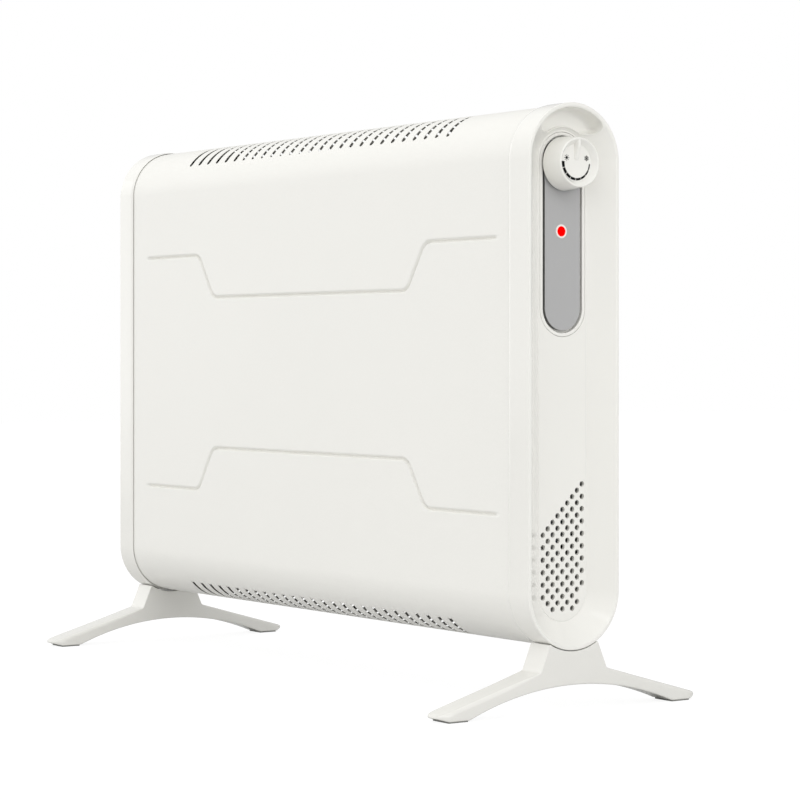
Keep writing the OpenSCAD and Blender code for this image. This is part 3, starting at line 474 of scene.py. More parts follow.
POCKET_LIP_SHARE = 0.6   # most of the strip between rim and pocket that the lip takes
SECTOR_ANGLE = 62.0      # half the wall's top sector, which holds the pocket
SECTOR_MIDDLE_R = 27.6
FAN_POINTS = 57
FAN_SIDE_POINTS = 7
SECTOR_SIDE_POINTS = 8
WALL_POINTS = 11
POCKET_POINTS = 400
POCKET_SMOOTHINGS = 60
SEAM_POINTS = 10
VENT_R = 1.75
VENT_EDGE = 0.2          # softening of a hole's edge, and the bend in the middle of it
VENT_BEND = 0.06
VENT_SIDES = 28
VENT_PITCH = 7.93
VENT_COLS = 9
VENT_DROP = 11.4
VENT_FIRST_TOP = 12      # top row of the first column
VENT_LAST_LOW = 4        # lowest row of the last column
VENT_MARGIN = 0.15
FASCIA_HOLE_R = TRAY_FLANGE_R + 0.4
WELL_HOLE_R = TRAY_WELL_R + 0.8
LEDGE_EDGE = ((0, 0), (0.12, 0.05), (0.18, 0.2), (0.18, LEDGE_DEPTH))    # inwards, and down

# The pocket's lip as (share of its width, rise), and its sides as (share of its depth, draft)

POCKET_LIP = ((1.0, 0.0), (0.8, 0.12), (0.6, 0.28), (0.42, 0.32), (0.28, 0.18), (0.15, -0.25), (0.06, -0.8),
              (0.0, -1.3))
POCKET_SIDES = ((0.3, 0.25), (0.6, 0.6), (0.85, 1.3), (0.96, 2.2), (1.0, 3.4))


def wall_x(r):
    """Height of the dish's wall at a radius, a little hollow between its foot and the rim."""
    t = (np.asarray(r) - WALL_FOOT_R) / (WALL_TOP_R - WALL_FOOT_R)
    return WALL_FOOT_X + (RIM_X - RIM_FALL - WALL_FOOT_X) * t - 2 * WALL_HOLLOW * t * (1 - t)


def arc_points(radius, start, end, count):
    return [(radius * math.cos(a), radius * math.sin(a)) for a in np.linspace(start, end, count)]


def pocket_outline():
    """Outline of the grip pocket about the arc's centre, as (y, z), with soft corners."""
    top = math.acos(POCKET_HALF / POCKET_R)
    lip = math.acos(math.sqrt(POCKET_LIP_R ** 2 - POCKET_LOW ** 2) / POCKET_LIP_R)
    points = arc_points(POCKET_R, top, math.pi - top, 60)
    points += [(-POCKET_HALF, POCKET_LOW + POCKET_CORNER), (-POCKET_HALF + POCKET_CORNER, POCKET_LOW)]
    points += arc_points(POCKET_LIP_R, math.pi - lip, lip, 40)
    points += [(POCKET_HALF - POCKET_CORNER, POCKET_LOW), (POCKET_HALF, POCKET_LOW + POCKET_CORNER)]
    loop = resample(np.array(points), POCKET_POINTS)
    for _ in range(POCKET_SMOOTHINGS):
        loop = (np.roll(loop, 1, axis=0) + 2 * loop + np.roll(loop, -1, axis=0)) / 4
    return loop


def resample(loop, count):
    """The same closed loop with evenly spaced points."""
    closed = np.vstack([loop, loop[:1]])
    step = np.hypot(*np.diff(closed, axis=0).T)
    run = np.concatenate([[0], np.cumsum(step)])
    at = np.linspace(0, run[-1], count, endpoint=False)
    return np.stack([np.interp(at, run, closed[:, 0]), np.interp(at, run, closed[:, 1])], axis=1)


def to_strip(points):
    """Places about the arc's centre as (run along the arc, radius)."""
    return np.stack([np.arctan2(points[:, 0], points[:, 1]) * SECTOR_MIDDLE_R,
                     np.hypot(points[:, 0], points[:, 1])], axis=1)


def from_strip(points):
    angle = points[:, 0] / SECTOR_MIDDLE_R
    return np.stack([points[:, 1] * np.sin(angle), points[:, 1] * np.cos(angle)], axis=1)


def sector_steps():
    """Steps of the wall's top sector: runs along the arc, and radii from the rim to the wall's foot."""
    edge = math.radians(SECTOR_ANGLE) * SECTOR_MIDDLE_R
    fan = POCKET_FAN
    runs = np.array([*np.linspace(-edge, -fan, FAN_SIDE_POINTS)[:-1], *np.linspace(-fan, fan, FAN_POINTS),
                     *np.linspace(fan, edge, FAN_SIDE_POINTS)[1:]])
    return runs, np.linspace(WALL_TOP_R, WALL_FOOT_R, WALL_POINTS)


def sector_frame():
    """Border of the wall's top sector, with the matching point of each on the pocket's outline."""
    runs, radii = sector_steps()
    border = [(s, WALL_TOP_R) for s in runs]
    border += [(runs[-1], r) for r in radii[1:-1]]
    border += [(s, WALL_FOOT_R) for s in runs[::-1]]
    border += [(runs[0], r) for r in radii[::-1][1:-1]]
    border = np.array(border)
    a = to_strip(pocket_outline())
    d = np.roll(a, -1, axis=0) - a
    matched = []
    for p in border:
        origin = np.array([min(max(p[0], -POCKET_FAN), POCKET_FAN), POCKET_MIDDLE_R])
        way = p - origin
        cross = way[0] * d[:, 1] - way[1] * d[:, 0]
        cross = np.where(np.abs(cross) < 1e-12, 1e-12, cross)
        gap = a - origin
        t = (gap[:, 0] * d[:, 1] - gap[:, 1] * d[:, 0]) / cross
        u = (gap[:, 0] * way[1] - gap[:, 1] * way[0]) / cross
        hits = t[(t > 0) & (u >= 0) & (u <= 1)]
        matched.append(origin + way * hits.min())
    return border, np.array(matched)


def inward_normals(loop):
    """Unit ways into a closed loop at its points."""
    along = np.roll(loop, -1, axis=0) - np.roll(loop, 1, axis=0)
    along /= np.hypot(along[:, 0], along[:, 1])[:, None]
    normal = np.stack([along[:, 1], -along[:, 0]], axis=1)
    area = np.sum(loop[:, 0] * np.roll(loop[:, 1], -1) - np.roll(loop[:, 0], -1) * loop[:, 1])
    return normal if area < 0 else -normal


def pocket_rings(pile, place):
    """The wall round the grip pocket, its rounded lip, its sides and its scooped back."""
    border, matched = sector_frame()
    lip = from_strip(matched)
    normal = inward_normals(lip)
    land = np.hypot(*(from_strip(border) - lip).T)
    edge = np.minimum(POCKET_LIP_W, POCKET_LIP_SHARE * land)[:, None]
    start = to_strip(lip - normal * edge)
    rings = []

    def ring(xs, flat):
        rings.append([place(x, y, z) for x, (y, z) in zip(xs, flat)])

    for t in (0, 0.15, 0.35, 0.6, 0.85):
        strip = border * (1 - t) + start * t
        ring(wall_x(strip[:, 1]), from_strip(strip))
    share = edge[:, 0] / POCKET_LIP_W
    for out, rise in POCKET_LIP:
        at = lip - normal * edge * out
        surface = wall_x(np.clip(to_strip(at)[:, 1], None, WALL_TOP_R))
        ring(surface + rise * (share if rise > 0 else 1), at)
    side_x = wall_x(matched[:, 1]) - POCKET_SUNK
    back_x = RIM_X - POCKET_DEPTH
    for t, draft in POCKET_SIDES:
        x = side_x * (1 - t) + back_x * t
        ring(np.maximum(np.minimum(x, side_x), back_x), lip + normal * draft)
    inner = lip + normal * POCKET_SIDES[-1][1]
    run = np.clip(to_strip(inner)[:, 0], -POCKET_SPINE, POCKET_SPINE)
    spine = from_strip(np.stack([run, np.full(len(inner), POCKET_MIDDLE_R)], axis=1))
    for t in (0.4, 0.75, 1.0):
        ring(np.full(len(inner), back_x), inner * (1 - t) + spine * t)
    pile.grid(rings, closed=True)


def vent_centres():
    """Places of the vent holes: a square grid turned by 45 degrees under a slanting edge."""
    half = VENT_PITCH / 2
    places = []
    for col in range(VENT_COLS):
        for row in range(VENT_FIRST_TOP + col + 1):
            y = (col - (VENT_COLS - 1) / 2) * half
            z = LOW_Z - VENT_DROP + row * half
            reach = math.hypot(y, min(z - LOW_Z, 0)) + VENT_R
            low_row = VENT_LAST_LOW if col == VENT_COLS - 1 else 0
            if row >= low_row and (col + row) % 2 == 0 and reach < FLOOR_R - VENT_MARGIN:
                places.append((y, z))
    return places


def make_cap(name, rim_x, side, cap_w, fascia):
    """One end cap. side is 1 at the right end and -1 at the left end, where x is mirrored."""
    pile = Pile()

    def level(x):
        return rim_x + side * (x - RIM_X)

    def place(x, y, z):
        return (level(x), y, z + TOP_Z)

    def sweep(section, ways, keep=None):
        rows = [[(level(x), y, z) for x, y, z in row] for row in stadium_rows(section, ways)]
        pile.grid(rows, closed=True, keep=keep)

    runs, radii = sector_steps()
    rest = np.linspace(-90, -SECTOR_ANGLE, SECTOR_SIDE_POINTS)[:-1]
    angles = np.concatenate([rest, np.degrees(runs / SECTOR_MIDDLE_R), -rest[::-1]])
    ways = stadium_ways(LOW_Z, TOP_Z, CAP_ARC_STEPS, CAP_STRAIGHT_STEPS, angles)

    # Outer band, from the step inside it over the seam to the rim
    seam_x = RIM_X - cap_w
    step_x = seam_x + CAP_LAP
    inner_r = SHELL_R + SEAM_GAP
    lap_edge = [(inner_r + (CAP_R - inner_r) * math.sin(a), seam_x + SEAM_ROUND * (1 - math.cos(a)))
                for a in np.radians(np.linspace(0, 90, SEAM_POINTS))]
    rim = rounded([lap_edge[-1], (CAP_R, RIM_X), (WALL_TOP_R + RIM_EDGE_W, RIM_X),
                   (WALL_TOP_R, RIM_X - RIM_FALL)], [0, RIM_ROUND, RIM_ROUND, 0], steps=5)
    sweep([(inner_r, step_x)] + lap_edge + [tuple(p) for p in rim[1:]], ways)

    # Dish's wall, open where the pocket's rings fill it
    first = CAP_STRAIGHT_STEPS + len(rest)
    last = first + len(runs) - 1
    sweep([(r, float(wall_x(r))) for r in radii], ways, lambda r, c: not first <= c < last)
    pocket_rings(pile, place)

    # Inner panel with its holes
    panel_r = FLOOR_R - 2 * PANEL_EDGE_W
    sweep(rounded([(WALL_FOOT_R, WALL_FOOT_X), (FLOOR_R, WALL_FOOT_X), (FLOOR_R - PANEL_EDGE_W, FLOOR_X),
                   (panel_r, FLOOR_X)], [0, 0.1, 0.3, 0], steps=3), ways)
    back_x = FLOOR_X - PANEL_T
    vents = vent_centres()
    holes = [circle_loop(VENT_R + VENT_EDGE, y, z, VENT_SIDES) for y, z in vents]
    back_holes = [circle_loop(VENT_R, y, z, VENT_SIDES) for y, z in vents]
    if fascia:
        tray_ways = panel_ways(HOLE_ARC_STEPS)
        holes.append(stadium_loop(FASCIA_HOLE_R, tray_ways))
        back_holes.append(stadium_loop(WELL_HOLE_R, tray_ways))
        soft_edge = [(FASCIA_HOLE_R - run, FLOOR_X - drop) for run, drop in LEDGE_EDGE]
        sweep(soft_edge + [(WELL_HOLE_R, FLOOR_X - LEDGE_DEPTH), (WELL_HOLE_R, back_x)], tray_ways)
    pile.flat(level(FLOOR_X), stadium_loop(panel_r, ways), holes)
    for y, z in vents:
        rows = []
        for r, x in ((VENT_R + VENT_EDGE, FLOOR_X), (VENT_R + VENT_BEND, FLOOR_X - VENT_BEND),
                     (VENT_R, FLOOR_X - VENT_EDGE), (VENT_R, back_x)):
            rows.append([(level(x), py, pz) for py, pz in circle_loop(r, y, z, VENT_SIDES)])
        pile.grid(rows, closed=True)

    # Back of the panel, out to the step
    sweep([(PANEL_BACK_R, back_x), (PANEL_BACK_R, step_x), (inner_r, step_x)], ways)
    pile.flat(level(back_x), stadium_loop(PANEL_BACK_R, ways), back_holes)
    return weighted_normals(pile.make(name))


# Side plates, set back a little from the case so that the pressed grooves pass in front of them

SIDE_SHEET_T = 1.0
SIDE_BEND_R = 1.2
SIDE_INNER_BEND_R = 0.4
SIDE_SET_BACK = 2.4


def make_side_plate(name, node, way):
    """A sheet with a flange along the front and one along the rear, both on the side that way points to."""
    low, high = box_mm(node)
    low[1] += SIDE_SET_BACK
    web = low[0] if way > 0 else high[0]
    edge = high[0] if way > 0 else low[0]

    def channel(inset, bend):
        face, front, rear = web + way * inset, low[1] + inset, high[1] - inset
        line = rounded([(edge, front), (face, front), (face, rear), (edge, rear)],
                       [0, bend, bend, 0], steps=4)
        return [tuple(p) for p in line]

    outer, inner = channel(0, SIDE_BEND_R), channel(SIDE_SHEET_T, SIDE_INNER_BEND_R)
    loop = outer + inner[::-1]
    ends = [[(x, y, z) for x, y in loop] for z in (low[2], high[2])]
    pile = Pile()
    pile.grid(ends, closed=True)
    last = len(loop) - 1
    for end in ends:
        pile.add(end, [[i, i + 1, last - 1 - i, last - i] for i in range(len(outer) - 1)])
    return pile.make(name)


# Control panel: tray, plate and lamp

PANEL_ARC_STEPS = 64
PANEL_STRAIGHT_STEPS = 2
WELL_DEPTH = 3.4
WELL_FLOOR_R = TRAY_WELL_R - 4
WELL_DRAFT = 0.01
TRAY_WALL_R = TRAY_WELL_R + 0.7
PLATE_EDGE = 0.35
PLATE_FLAT_R = PLATE_R - 1.2
# size and sinking of the dark piece that paints the shade in the gap round the control plate
PLATE_SHADE_R = PLATE_R - 0.05
PLATE_SHADE_SUNK = 0.3
LENS_GAP = 0.02
LENS_DOME = 0.8          # share of the lens's height that is domed
LENS_STEPS = 8
LAMP_SIDES = 64


def panel_ways(arc_steps=PANEL_ARC_STEPS):
    return stadium_ways(TRAY_LOW_Z, TRAY_TOP_Z, arc_steps, PANEL_STRAIGHT_STEPS)


def make_tray():
    face, floor, ledge, back = tray_high[0], FLOOR_X - WELL_DEPTH, FLOOR_X - LEDGE_DEPTH, tray_low[0]
    section = rounded([(WELL_FLOOR_R + WELL_DRAFT, floor), (TRAY_WELL_R, floor), (TRAY_WELL_R, face),
                       (TRAY_FLANGE_R, face), (TRAY_FLANGE_R, ledge), (TRAY_WALL_R, ledge),
                       (TRAY_WALL_R, back), (WELL_FLOOR_R, back)], [0, 0, 0.4, 0.45, 0, 0, 0, 0])
    pile = Pile()
    pile.grid(stadium_rows(section + [section[0]], panel_ways()), closed=True)
    return weighted_normals(pile.make("control_frame"))


def make_plate():
    face = plate_high[0]
    section = rounded([(PLATE_R, face - PLATE_EDGE), (PLATE_R, face), (PLATE_FLAT_R, face)],
                      [0, 0.25, 0], steps=5)
    pile = Pile()
    pile.grid(stadium_rows(section, panel_ways()), closed=True)
    pile.flat(face, stadium_loop(PLATE_FLAT_R, panel_ways()))
    return weighted_normals(pile.make("control_plate"))


def make_plate_gap_shade():
    """Dark piece under the control plate: painted shade that shows in the gap round its grey face."""
    back, top = plate_low[0], plate_high[0] - PLATE_SHADE_SUNK
    outline = stadium_loop(PLATE_SHADE_R, panel_ways())
    pile = Pile()
    pile.grid(stadium_rows([(PLATE_SHADE_R, back), (PLATE_SHADE_R, top)], panel_ways()), closed=True)
    pile.flat(top, outline)
    pile.flat(back, outline)
    return pile.make("control_plate_gap_shade")


def make_bezel():
    outer = (bezel_high[1] - bezel_low[1]) / 2
    height = bezel_high[0] - bezel_low[0]
    section = rounded([(LENS_R, 0), (LENS_R, height), (outer, height), (outer, 0)],
                      [0, 0.2, 0.45, 0], steps=5)
    return revolve("lamp_ring", section + [section[0]], bezel_low[0], LAMP_Y, LAMP_Z, LAMP_SIDES)


def make_lens():
    radius = LENS_R - LENS_GAP
    height = lens_high[0] - lens_low[0]
    dome = LENS_DOME * height
    section = [(AXIS_R, 0), (radius, 0), (radius, height - dome)]
    for k in range(1, LENS_STEPS + 1):
        a = k / LENS_STEPS * math.pi / 2
        section.append((radius * math.cos(a) + AXIS_R, height - dome + dome * math.sin(a)))
    return revolve("lamp_window", section, lens_low[0], LAMP_Y, LAMP_Z, LAMP_SIDES)


# Knob: cap, pointer and printed marks

KNOB_BACK_R = 17.4
KNOB_BACK_W = 1.8
KNOB_FACE_R = 15.8
KNOB_RIM_R = 14.7
KNOB_WALL = 2.4
KNOB_ROUNDS = (0, 0.8, 0.3, 0.4, 0.9, 0.7, 0.35, 0)    # at its section's corners, from the hub on
KNOB_SIDES = 160
HUB_R = 5.6
HUB_BACK = 3.0
BORE_R = 3.05
DISC_R = 11.8
DISC_SINK = 3.7
DISC_X = knob_low[0] + KNOB_LEN - DISC_SINK
POINTER_START = 1.7      # nose of the pointer above the knob's axis
POINTER_RIM_GAP = 0.2
POINTER_L = KNOB_RIM_R - POINTER_RIM_GAP - POINTER_START
POINTER_STEPS = 40
POINTER_HALF = 1.85
POINTER_NOSE_H = 0.7
POINTER_H = DISC_SINK - 0.15
POINTER_MIN_NOSE = 0.02  # share of its width at the very nose
POINTER_BLUNT = 0.3      # and of its height
POINTER_CLIMB = 0.62     # share of its length over which the pointer rises
POINTER_SECTION = (      # across the pointer, as (share of its half width, share of its height)
    (-1, -0.1), (-0.98, 0.04), (-0.86, 0.34), (-0.58, 0.74), (-0.36, 0.93), (-0.27, 0.99), (-0.2, 1.0),
    (0.42, 1.0), (0.52, 0.97), (0.6, 0.88), (0.97, 0.05), (1, -0.1))


def make_knob():
    disc = KNOB_LEN - DISC_SINK
    disc_back = disc - KNOB_WALL
    section = rounded([(HUB_R, disc_back), (KNOB_BACK_R - KNOB_WALL, disc_back),
                       (KNOB_BACK_R - KNOB_BACK_W, 0), (KNOB_BACK_R, 0), (KNOB_FACE_R, KNOB_LEN),
                       (KNOB_RIM_R, KNOB_LEN), (DISC_R, disc), (AXIS_R, disc)], KNOB_ROUNDS)
    hub = [(AXIS_R, disc_back), (BORE_R, disc_back), (BORE_R, HUB_BACK), (HUB_R, HUB_BACK)]
    return revolve("knob_cap", hub + section, knob_low[0], 0, KNOB_Z, KNOB_SIDES)


def make_pointer():
    """Wedge that falls from the knob's rim to a round nose near the middle of the disc."""
    pile = Pile()
    rows = []
    for t in np.linspace(0, 1, POINTER_STEPS + 1):
        nose = math.sqrt(max(0.0, 1 - (1 - min(1, t * POINTER_L / POINTER_HALF)) ** 2))
        half = POINTER_HALF * max(nose, POINTER_MIN_NOSE)
        climb = min(1, t / POINTER_CLIMB)
        high = (POINTER_NOSE_H + (POINTER_H - POINTER_NOSE_H) * climb) * min(1, POINTER_BLUNT + nose)
        rows.append([(DISC_X + high * rise, v * half, KNOB_Z + POINTER_START + t * POINTER_L)
                     for v, rise in POINTER_SECTION])
    pile.grid(rows)
    pile.polygon(rows[0])
    return pile.make("knob_pointer")


MARK_H = 0.03
BAR_COUNT = 8
BAR_START = 177          # in degrees from the rear side, over the top
BAR_SWEEP = 182
BAR_GAP = 1.9
BAR_R = 10.65
BAR_THICK = 2.3
BAR_THINNING = 1.4
SUN_AT = (-7.75, 2.85)
SUN_R = 0.95
SUN_RAY = (1.15, 2.05, 0.2)
FLAKE_AT = (8.3, 2.95)
FLAKE_ARM = (0.0, 1.9, 0.22)
FLAKE_BRANCH = (0, 0.75, 0.17)
FLAKE_FORK_R = 0.95
FLAKE_FORK_TURN = 0.9


def make_marks():
    """Printed marks on the knob's disc: a bar that thins out, a sun and a snowflake."""
    pile = Pile()

    def polygon(points):
        pile.polygon([(DISC_X + MARK_H, y, KNOB_Z + z) for y, z in points])

    def toward(angle):
        return np.array([math.cos(angle), math.sin(angle)])

    def ray(centre, angle, size):
        """A straight stroke; size is where it starts, where it stops and its half width."""
        start, stop, half = size
        way = toward(angle)
        side = np.array([-way[1], way[0]]) * half
        a, b = centre + way * start, centre + way * stop
        polygon([a - side, b - side, b + side, a + side])

    step = BAR_SWEEP / BAR_COUNT
    for i in range(BAR_COUNT):
        start = BAR_START + i * step
        stop = start + step - BAR_GAP
        points = []
        for edge, angles in ((1, np.linspace(start, stop, 7)), (-1, np.linspace(stop, start, 7))):
            for a in angles:
                thick = BAR_THICK - BAR_THINNING * (a - BAR_START) / BAR_SWEEP
                points.append((BAR_R + edge * thick / 2) * toward(math.radians(a)))
        polygon(points)

    sun = np.array(SUN_AT)
    polygon([sun + SUN_R * toward(a) for a in np.linspace(0, 2 * math.pi, 17)[:-1]])
    for k in range(8):
        ray(sun, k * math.pi / 4, SUN_RAY)
    flake = np.array(FLAKE_AT)
    for k in range(6):
        angle = k * math.pi / 3 + math.pi / 6
        ray(flake, angle, FLAKE_ARM)
        for turn in (-FLAKE_FORK_TURN, FLAKE_FORK_TURN):
            ray(flake + FLAKE_FORK_R * toward(angle), angle + turn, FLAKE_BRANCH)
    return pile.make("knob_marks")


# Feet

CRADLE_R = CAP_R + 0.6
PAD_T = 0.9
ARCH_Z = 17.0
ARCH_HALF = 82.0
BLOCK_HALF = 19.5
BLOCK_EDGE = 0.8
KNEE = (26.7, 26.3)
TIP_Z = 5.4
TIP_RUN = 4.0
TIP_FALL = 1.6
TIP_H = 0.6
SOLE_RUN = 7.5           # from the foot's end to where its sole starts to rise
TONGUE = 10.0            # half the foot's width, and the length of its round end
TONGUE_BLUNT = 0.15
MIN_STEP = 0.12          # of the places along the foot
FOOT_POINTS = 90
BLOCK_ROUND = 0.7
ARM_ROUND = 1.9          # added to the upper edges' rounding along the arm
ARM_LEAD = 1.0           # how far before the knee the arm's rounding starts to grow
ARM_RUN = 30.0
SOLE_ROUND = 0.9
UPPER_LIMITS = (0.48, 0.9)    # most of the height and half width that a rounding takes
LOWER_LIMITS = (0.3, 0.5)


def foot_top():
    """The foot's top line from its middle to its tip, as (y, z)."""
    edge_y = BLOCK_HALF - BLOCK_EDGE
    cradle = [(y, LOW_Z - math.sqrt(CRADLE_R ** 2 - y * y)) for y in np.linspace(0, edge_y, 24)]
    edge_z = cradle[-1][1]
    rest = rounded([cradle[-2], (edge_y, edge_z), (BLOCK_HALF, edge_z), KNEE, (FOOT_HALF - TIP_RUN, TIP_Z),
                    (FOOT_HALF, TIP_Z - TIP_FALL)], [0, 0.3, 0.4, 3.5, 3.0, 0])
    return cradle[:-1] + [tuple(p) for p in rest[1:]]


def foot_bottom():
    """The foot's lower line over its arch and along its sole, as (y, z)."""
    arch_r = (ARCH_HALF ** 2 + (ARCH_Z - PAD_T) ** 2) / (2 * (ARCH_Z - PAD_T))
    arch = [(y, ARCH_Z - arch_r + math.sqrt(arch_r ** 2 - y * y)) for y in np.linspace(0, ARCH_HALF, 40)]
    tip_low = TIP_Z - TIP_FALL - TIP_H
    rest = rounded([arch[-2], arch[-1], (FOOT_HALF - SOLE_RUN, PAD_T), (FOOT_HALF, tip_low)],
                   [0, 1.5, 3, 0], steps=5)
    return arch[:-1] + [tuple(p) for p in rest[1:]]


def foot_stations(top):
    """Places along the foot, with every corner of its top line, from its front end to its rear end."""
    places = np.unique(np.round(np.concatenate([top[:, 0], np.linspace(0, FOOT_HALF, FOOT_POINTS)]), 3))
    keep = [places[0]]
    for y in places[1:]:
        if y - keep[-1] > MIN_STEP:
            keep.append(y)
    keep[-1] = FOOT_HALF
    return [-y for y in keep[::-1][:-1]] + keep


def make_foot(name, low_x):
    top, bottom = np.array(foot_top()), np.array(foot_bottom())
    middle = low_x + FOOT_T / 2
    rows = []
    for y in foot_stations(top):
        a = abs(y)
        high, low = float(np.interp(a, *top.T)), float(np.interp(a, *bottom.T))
        past = max(0.0, a - FOOT_HALF + TONGUE) / (TONGUE + TONGUE_BLUNT)
        wide = TONGUE * math.sqrt(max(0.0, 1 - past ** 2))
        arm = min(1, max(0, (a - KNEE[0] + ARM_LEAD) / ARM_RUN))
        tall = high - low
        upper = min(BLOCK_ROUND + ARM_ROUND * arm, tall * UPPER_LIMITS[0], wide * UPPER_LIMITS[1])
        lower = min(SOLE_ROUND, tall * LOWER_LIMITS[0], wide * LOWER_LIMITS[1])
        row = []
        for sx, sz, radius, start in ((-1, -1, upper, 0), (1, -1, upper, 90), (1, 1, lower, 180),
                                      (-1, 1, lower, 270)):
            cx, cz = middle - sx * wide, high if sz < 0 else low
            for k in range(7):
                t = math.radians(start + 15 * k)
                x = cx + sx * radius + radius * math.cos(t)
                row.append((x, y, cz + sz * radius + radius * math.sin(t)))
        rows.append(row)
    pile = Pile()
    pile.grid(rows, closed=True)
    pile.polygon(rows[0])
    pile.polygon(rows[-1])
    return weighted_normals(pile.make(name))


# Materials

CLOUDS = (6.0, 3.0)      # patches per metre, and their detail
TINT_ENDS = (0.3, 0.7)
GRAIN_DETAIL = 2.0


def map_range(nodes, links, source, low, high, to_low, to_high):
    """Maps a socket's values from one range to another, and returns the result's socket."""
    node = nodes.new("ShaderNodeMapRange")
    for key, value in (("From Min", low), ("From Max", high), ("To Min", to_low), ("To Max", to_high)):
        node.inputs[key].default_value = value
    links.new(source, node.inputs["Value"])
    return node.outputs["Result"]


def noise(nodes, links, place, scale, detail):
    node = nodes.new("ShaderNodeTexNoise")
    node.inputs["Scale"].default_value = scale
    node.inputs["Detail"].default_value = detail
    links.new(place.outputs["Object"], node.inputs["Vector"])
    return node.outputs["Fac"]


def finish(name, colour, rough, spread=0.01, grain=700, height=1e-5, rough_spread=0.03, **values):
    """A material with procedural tint, gloss and relief: grain is per metre, and height is in metres."""
    mat = bpy.data.materials.new(name)
    mat.use_nodes = True
    nodes, links = mat.node_tree.nodes, mat.node_tree.links
    shader = nodes["Principled BSDF"]
    shader.inputs["Base Color"].default_value = (*colour, 1)
    shader.inputs["Roughness"].default_value = rough
    for key, value in values.items():
        shader.inputs[key.replace("_", " ")].default_value = value
    place = nodes.new("ShaderNodeTexCoord")
    cloud = noise(nodes, links, place, *CLOUDS)
    tint = nodes.new("ShaderNodeValToRGB")
    for element, position, change in zip(tint.color_ramp.elements, TINT_ENDS, (1 - spread, 1 + spread)):
        element.position = position
        element.color = (*[min(1, c * change) for c in colour], 1)
    links.new(cloud, tint.inputs["Fac"])
    links.new(tint.outputs["Color"], shader.inputs["Base Color"])
    gloss = map_range(nodes, links, cloud, 0, 1, rough - rough_spread, rough + rough_spread)
    links.new(gloss, shader.inputs["Roughness"])
    bump = nodes.new("ShaderNodeBump")
    bump.inputs["Strength"].default_value = 1.0
    bump.inputs["Distance"].default_value = height
    links.new(noise(nodes, links, place, grain, GRAIN_DETAIL), bump.inputs["Height"])
    links.new(bump.outputs["Normal"], shader.inputs["Normal"])
    return mat


IVORY = (0.875, 0.867, 0.824)
CAP_IVORY = (0.873, 0.865, 0.822)
# the caps' ivory made darker on the feet: painted shade, not a different plastic
FOOT_SHADED_IVORY = (0.815, 0.807, 0.766)

paint = finish("case paint", IVORY, 0.42, 0.006, 420, 6e-5, 0.04)
plastic = finish("ivory plastic", CAP_IVORY, 0.12, 0.004, 900, 1e-6, 0.02, IOR=1.5)
foot_shaded_plastic = finish("feet ivory with painted shade", FOOT_SHADED_IVORY, 0.2, 0.004, 900, 1e-6, 0.02, IOR=1.5)
grey = finish("grey plastic", (0.437, 0.437, 0.437), 0.38, 0.01, 1500)
# dark grey that paints the shade in the gap round the control plate
gap_shade_grey = finish("painted gap shade grey", (0.12, 0.12, 0.12), 0.5, 0.01, 1500)
red = finish("red lens", (0.9, 0.0, 0.0), 0.5, 0.01, 600, 2e-6, 0.02,
             Emission_Color=(1, 0, 0, 1), Emission_Strength=0.8, Specular_IOR_Level=0.0)
ink = finish("black ink", (0.003, 0.003, 0.003), 0.5, 0.05, 1500, 3e-6, Specular_IOR_Level=0.1)
zinc = finish("zinc plated steel", (0.62, 0.63, 0.65), 0.34, 0.05, 500, 2e-5, 0.06, Metallic=1.0)
tube_steel = finish("heat tinted steel", (0.36, 0.33, 0.3), 0.4, 0.12, 300, 2e-5, 0.08, Metallic=1.0)
aluminium = finish("fin aluminium", (0.78, 0.79, 0.8), 0.32, 0.03, 500, 1e-5, 0.05, Metallic=1.0)
ceramic = finish("ceramic", (0.8, 0.77, 0.7), 0.6, 0.03, 900, 2e-5, 0.05)
phenolic = finish("dark phenolic", (0.05, 0.04, 0.035), 0.45, 0.1, 900, 2e-5, 0.05)
black = finish("black plastic", (0.025, 0.025, 0.025), 0.45, 0.1, 900, 2e-5, 0.05)
clear = finish("lamp body", (0.75, 0.7, 0.62), 0.2, 0.02, 900, 5e-6)
rubber = finish("pad rubber", (0.3, 0.3, 0.285), 0.75, 0.1, 900, 4e-5, 0.05)
brass = finish("brass", (0.75, 0.58, 0.25), 0.3, 0.05, 500, 1e-5, 0.05, Metallic=1.0)


def dress(obj, mat):
    obj.data.materials.clear()
    obj.data.materials.append(mat)


# Pieces that replace those of the frame

def piece(obj, body, mat, slot, *nodes):
    dress(obj, mat)
    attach(obj, body)
    if nodes:
        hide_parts(*nodes)


piece(make_shell(), "heater", paint, "case_paint", "front_shell")
piece(make_cap("right_cap", RIM_X, 1, CAP_W, True), "heater", plastic, "ivory_plastic", "end_cap_right")
piece(make_cap("left_cap", LEFT_RIM_X, -1, LEFT_CAP_W, False), "heater", plastic, "ivory_plastic",
      "end_cap_left")
piece(make_tray(), "heater", plastic, "ivory_plastic", "fascia_tray")
piece(make_plate(), "heater", grey, "grey_plastic", "fascia_plate")
# dark piece that paints the shade in the gap round the control plate
piece(make_plate_gap_shade(), "heater", gap_shade_grey, "grey_plastic")
piece(make_bezel(), "heater", plastic, "ivory_plastic", "indicator_bezel")
piece(make_lens(), "heater", red, "red_lens", "indicator_lens")
piece(make_knob(), "knob", plastic, "ivory_plastic", "control_knob")
piece(make_pointer(), "knob", plastic, "ivory_plastic")
piece(make_marks(), "knob", ink, "black_plastic")
# feet in the darker ivory, which paints shade on them
piece(make_foot("foot_shell_right", foot_low[0]), "heater", foot_shaded_plastic, "ivory_plastic", "foot_right")
piece(make_foot("foot_shell_left", foot_left_low[0]), "heater", foot_shaded_plastic, "ivory_plastic", "foot_left")
for end, way in (("right", 1), ("left", -1)):
    plate = "side_plate_" + end
    piece(make_side_plate("wiring_wall_" + end, plate, way), "heater", zinc, "zinc_steel", plate)

# Materials of the frame's own pieces

